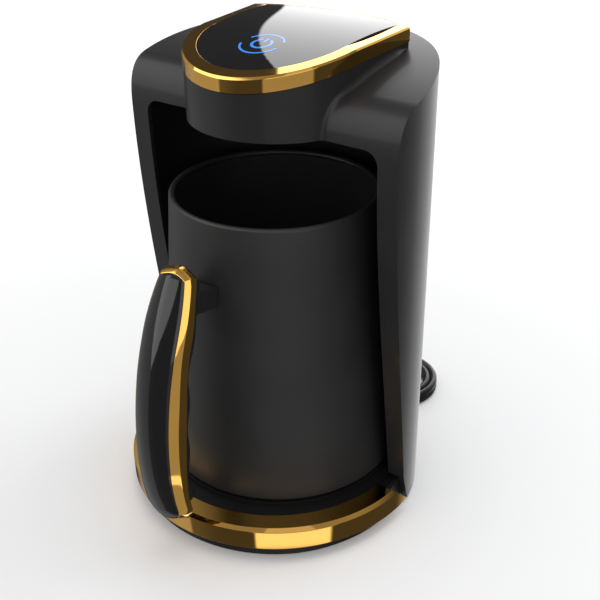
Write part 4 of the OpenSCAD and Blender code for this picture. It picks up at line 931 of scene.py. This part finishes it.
# the arm's wedge and plate, whose pocket is cut from the core
arm_z, wedge_half, plate_half, plate_near, plate_far = 111.4, 6.5, 5.5, 8.8, 11.2
root_y, root_low, root_high, tip_low, tip_high, tip_deep = -46.2, 108.6, 117.4, 115.5, 124.5, 9.8
plate_down, plate_up = 32, 10


def arm_form(name, clearance, pocket):
    """The arm's wedge and its plate, or the room for them, a clearance wider and deeper behind."""
    high, low = handle_at(tip_high, tip_deep), handle_at(tip_low, tip_deep)
    wedge = drawn(name, [
        (root_y, root_low - clearance), (root_y, root_high + clearance),
        (high[0] - clearance, high[1] + clearance), (low[0] - clearance, low[1] - clearance)],
        -wedge_half - clearance, wedge_half + clearance, face="side")
    plate_line = np.linspace(arm_z - plate_down, arm_z + plate_up, 15)
    near = [tuple(handle_at(z, plate_near - clearance)) for z in plate_line]
    far = [tuple(handle_at(z, plate_far + pocket)) for z in plate_line[::-1]]
    plate = drawn(name + "_plate", near + far, -plate_half - clearance, plate_half + clearance,
                  face="side")
    return combined(wedge, "UNION", plate)


combined(handle_core, "DIFFERENCE", arm_form("arm_room", 0.3, 8))
smooth(handle_core, 38)
grip_black = plastic("grip_black", (0.016, 0.016, 0.017), 0.36, grain=0.2, specular=0.4)
finish_piece(handle_core, grip_black, "grip_black", "handle_grip", body="pot")

# ---- Handle of the pot: arm ----
# Black nylon wedge, hollowed to the pot's wall and bonded to it. Its plate lies in the grip's
# pocket and is held there by two screws from behind.
wall_foot, wall_rim, screw_r, screw_drops = (54.35, 17.9), (45.15, 143.9), 1.7, (15.2, 25)


def turned_round(piece, x, y, z, angle, axis):
    """Turns a piece that was made at the middle, and puts it in its place."""
    piece.data.transform(
        Matrix.Translation((x * mm, (y + pot_y) * mm, z * mm)) @ Matrix.Rotation(angle, 4, axis)
        @ Matrix.Translation((0, -pot_y * mm, 0)))
    return piece


handle_arm = arm_form("handle_bracket", 0, 0)
combined(handle_arm, "DIFFERENCE", turned("pot_room", [
    (0, 10), (wall_foot[0], 10), wall_foot, wall_rim, (0, wall_rim[1])], sides=180))
for drop in screw_drops:
    spot, further = (handle_at(arm_z - drop, depth) for depth in (plate_far, plate_far + 1))
    lean_back = math.atan2(further[1] - spot[1], further[0] - spot[0])
    pin = turned("screw_room", [(0, -9), (screw_r, -9), (screw_r, 9), (0, 9)], sides=40)
    combined(handle_arm, "DIFFERENCE", turned_round(pin, 0, *spot, lean_back - math.pi / 2, "X"))
smooth(eased_edges(merged(handle_arm, 0.03), 0.5, steps=3, angle=50), 35)
finish_piece(handle_arm, grip_black, "grip_black", "handle_arm", body="pot")

# ---- Cord tie ----
# Clip of soft black nylon that arches over the coil's turns and holds them together. Its shoulders
# are round and its inside is chamfered.
clip_half, clip_wall, clip_round, clip_side_z, clip_wide = 4.5, 0.75, 1.8, 6.2, 5.6
tie_bearing = math.radians(180)
arch = [(-clip_half, 0.1), (-clip_half, clip_side_z)]
arch += [(clip_round - clip_half - clip_round * math.cos(a), clip_side_z + clip_round * math.sin(a))
         for a in np.radians(np.linspace(15, 90, 6))]
arch += [(-x, z) for x, z in arch[::-1]]
room = [(clip_half - clip_wall, 0.1), (clip_half - clip_wall, 5.9), (2.4, 7.3)]
arch += room + [(-x, z) for x, z in room[::-1]]
coil_clip = turned_round(
    drawn("coil_clip", arch, -clip_wide / 2, clip_wide / 2, face="front"),
    coil_x + coil_mid_r * math.cos(tie_bearing), coil_y + coil_mid_r * math.sin(tie_bearing), 0,
    tie_bearing, "Z")
smooth(eased_edges(coil_clip, 0.25), 40)
tie_black = plastic("tie_black", (0.008, 0.008, 0.008), 0.5, grain=0.2, specular=0.3)
finish_piece(coil_clip, tie_black, "tie_black", "cord_tie")

# ---- Strain relief and plug ----
# Soft PVC strain relief at the foot, and a flat plug that is moulded on the cord's end round two
# nickel-plated brass pins.
plug_black = plastic("plug_black", (0.011, 0.011, 0.012), 0.36, grain=0.3)
pin_nickel = plated("pin_nickel", (0.66, 0.63, 0.57), 0.16)
for node, finish in (
        ("strain_relief", cord_pvc), ("plug_body", plug_black), ("plug_pins", pin_nickel)):
    dress(node, finish)
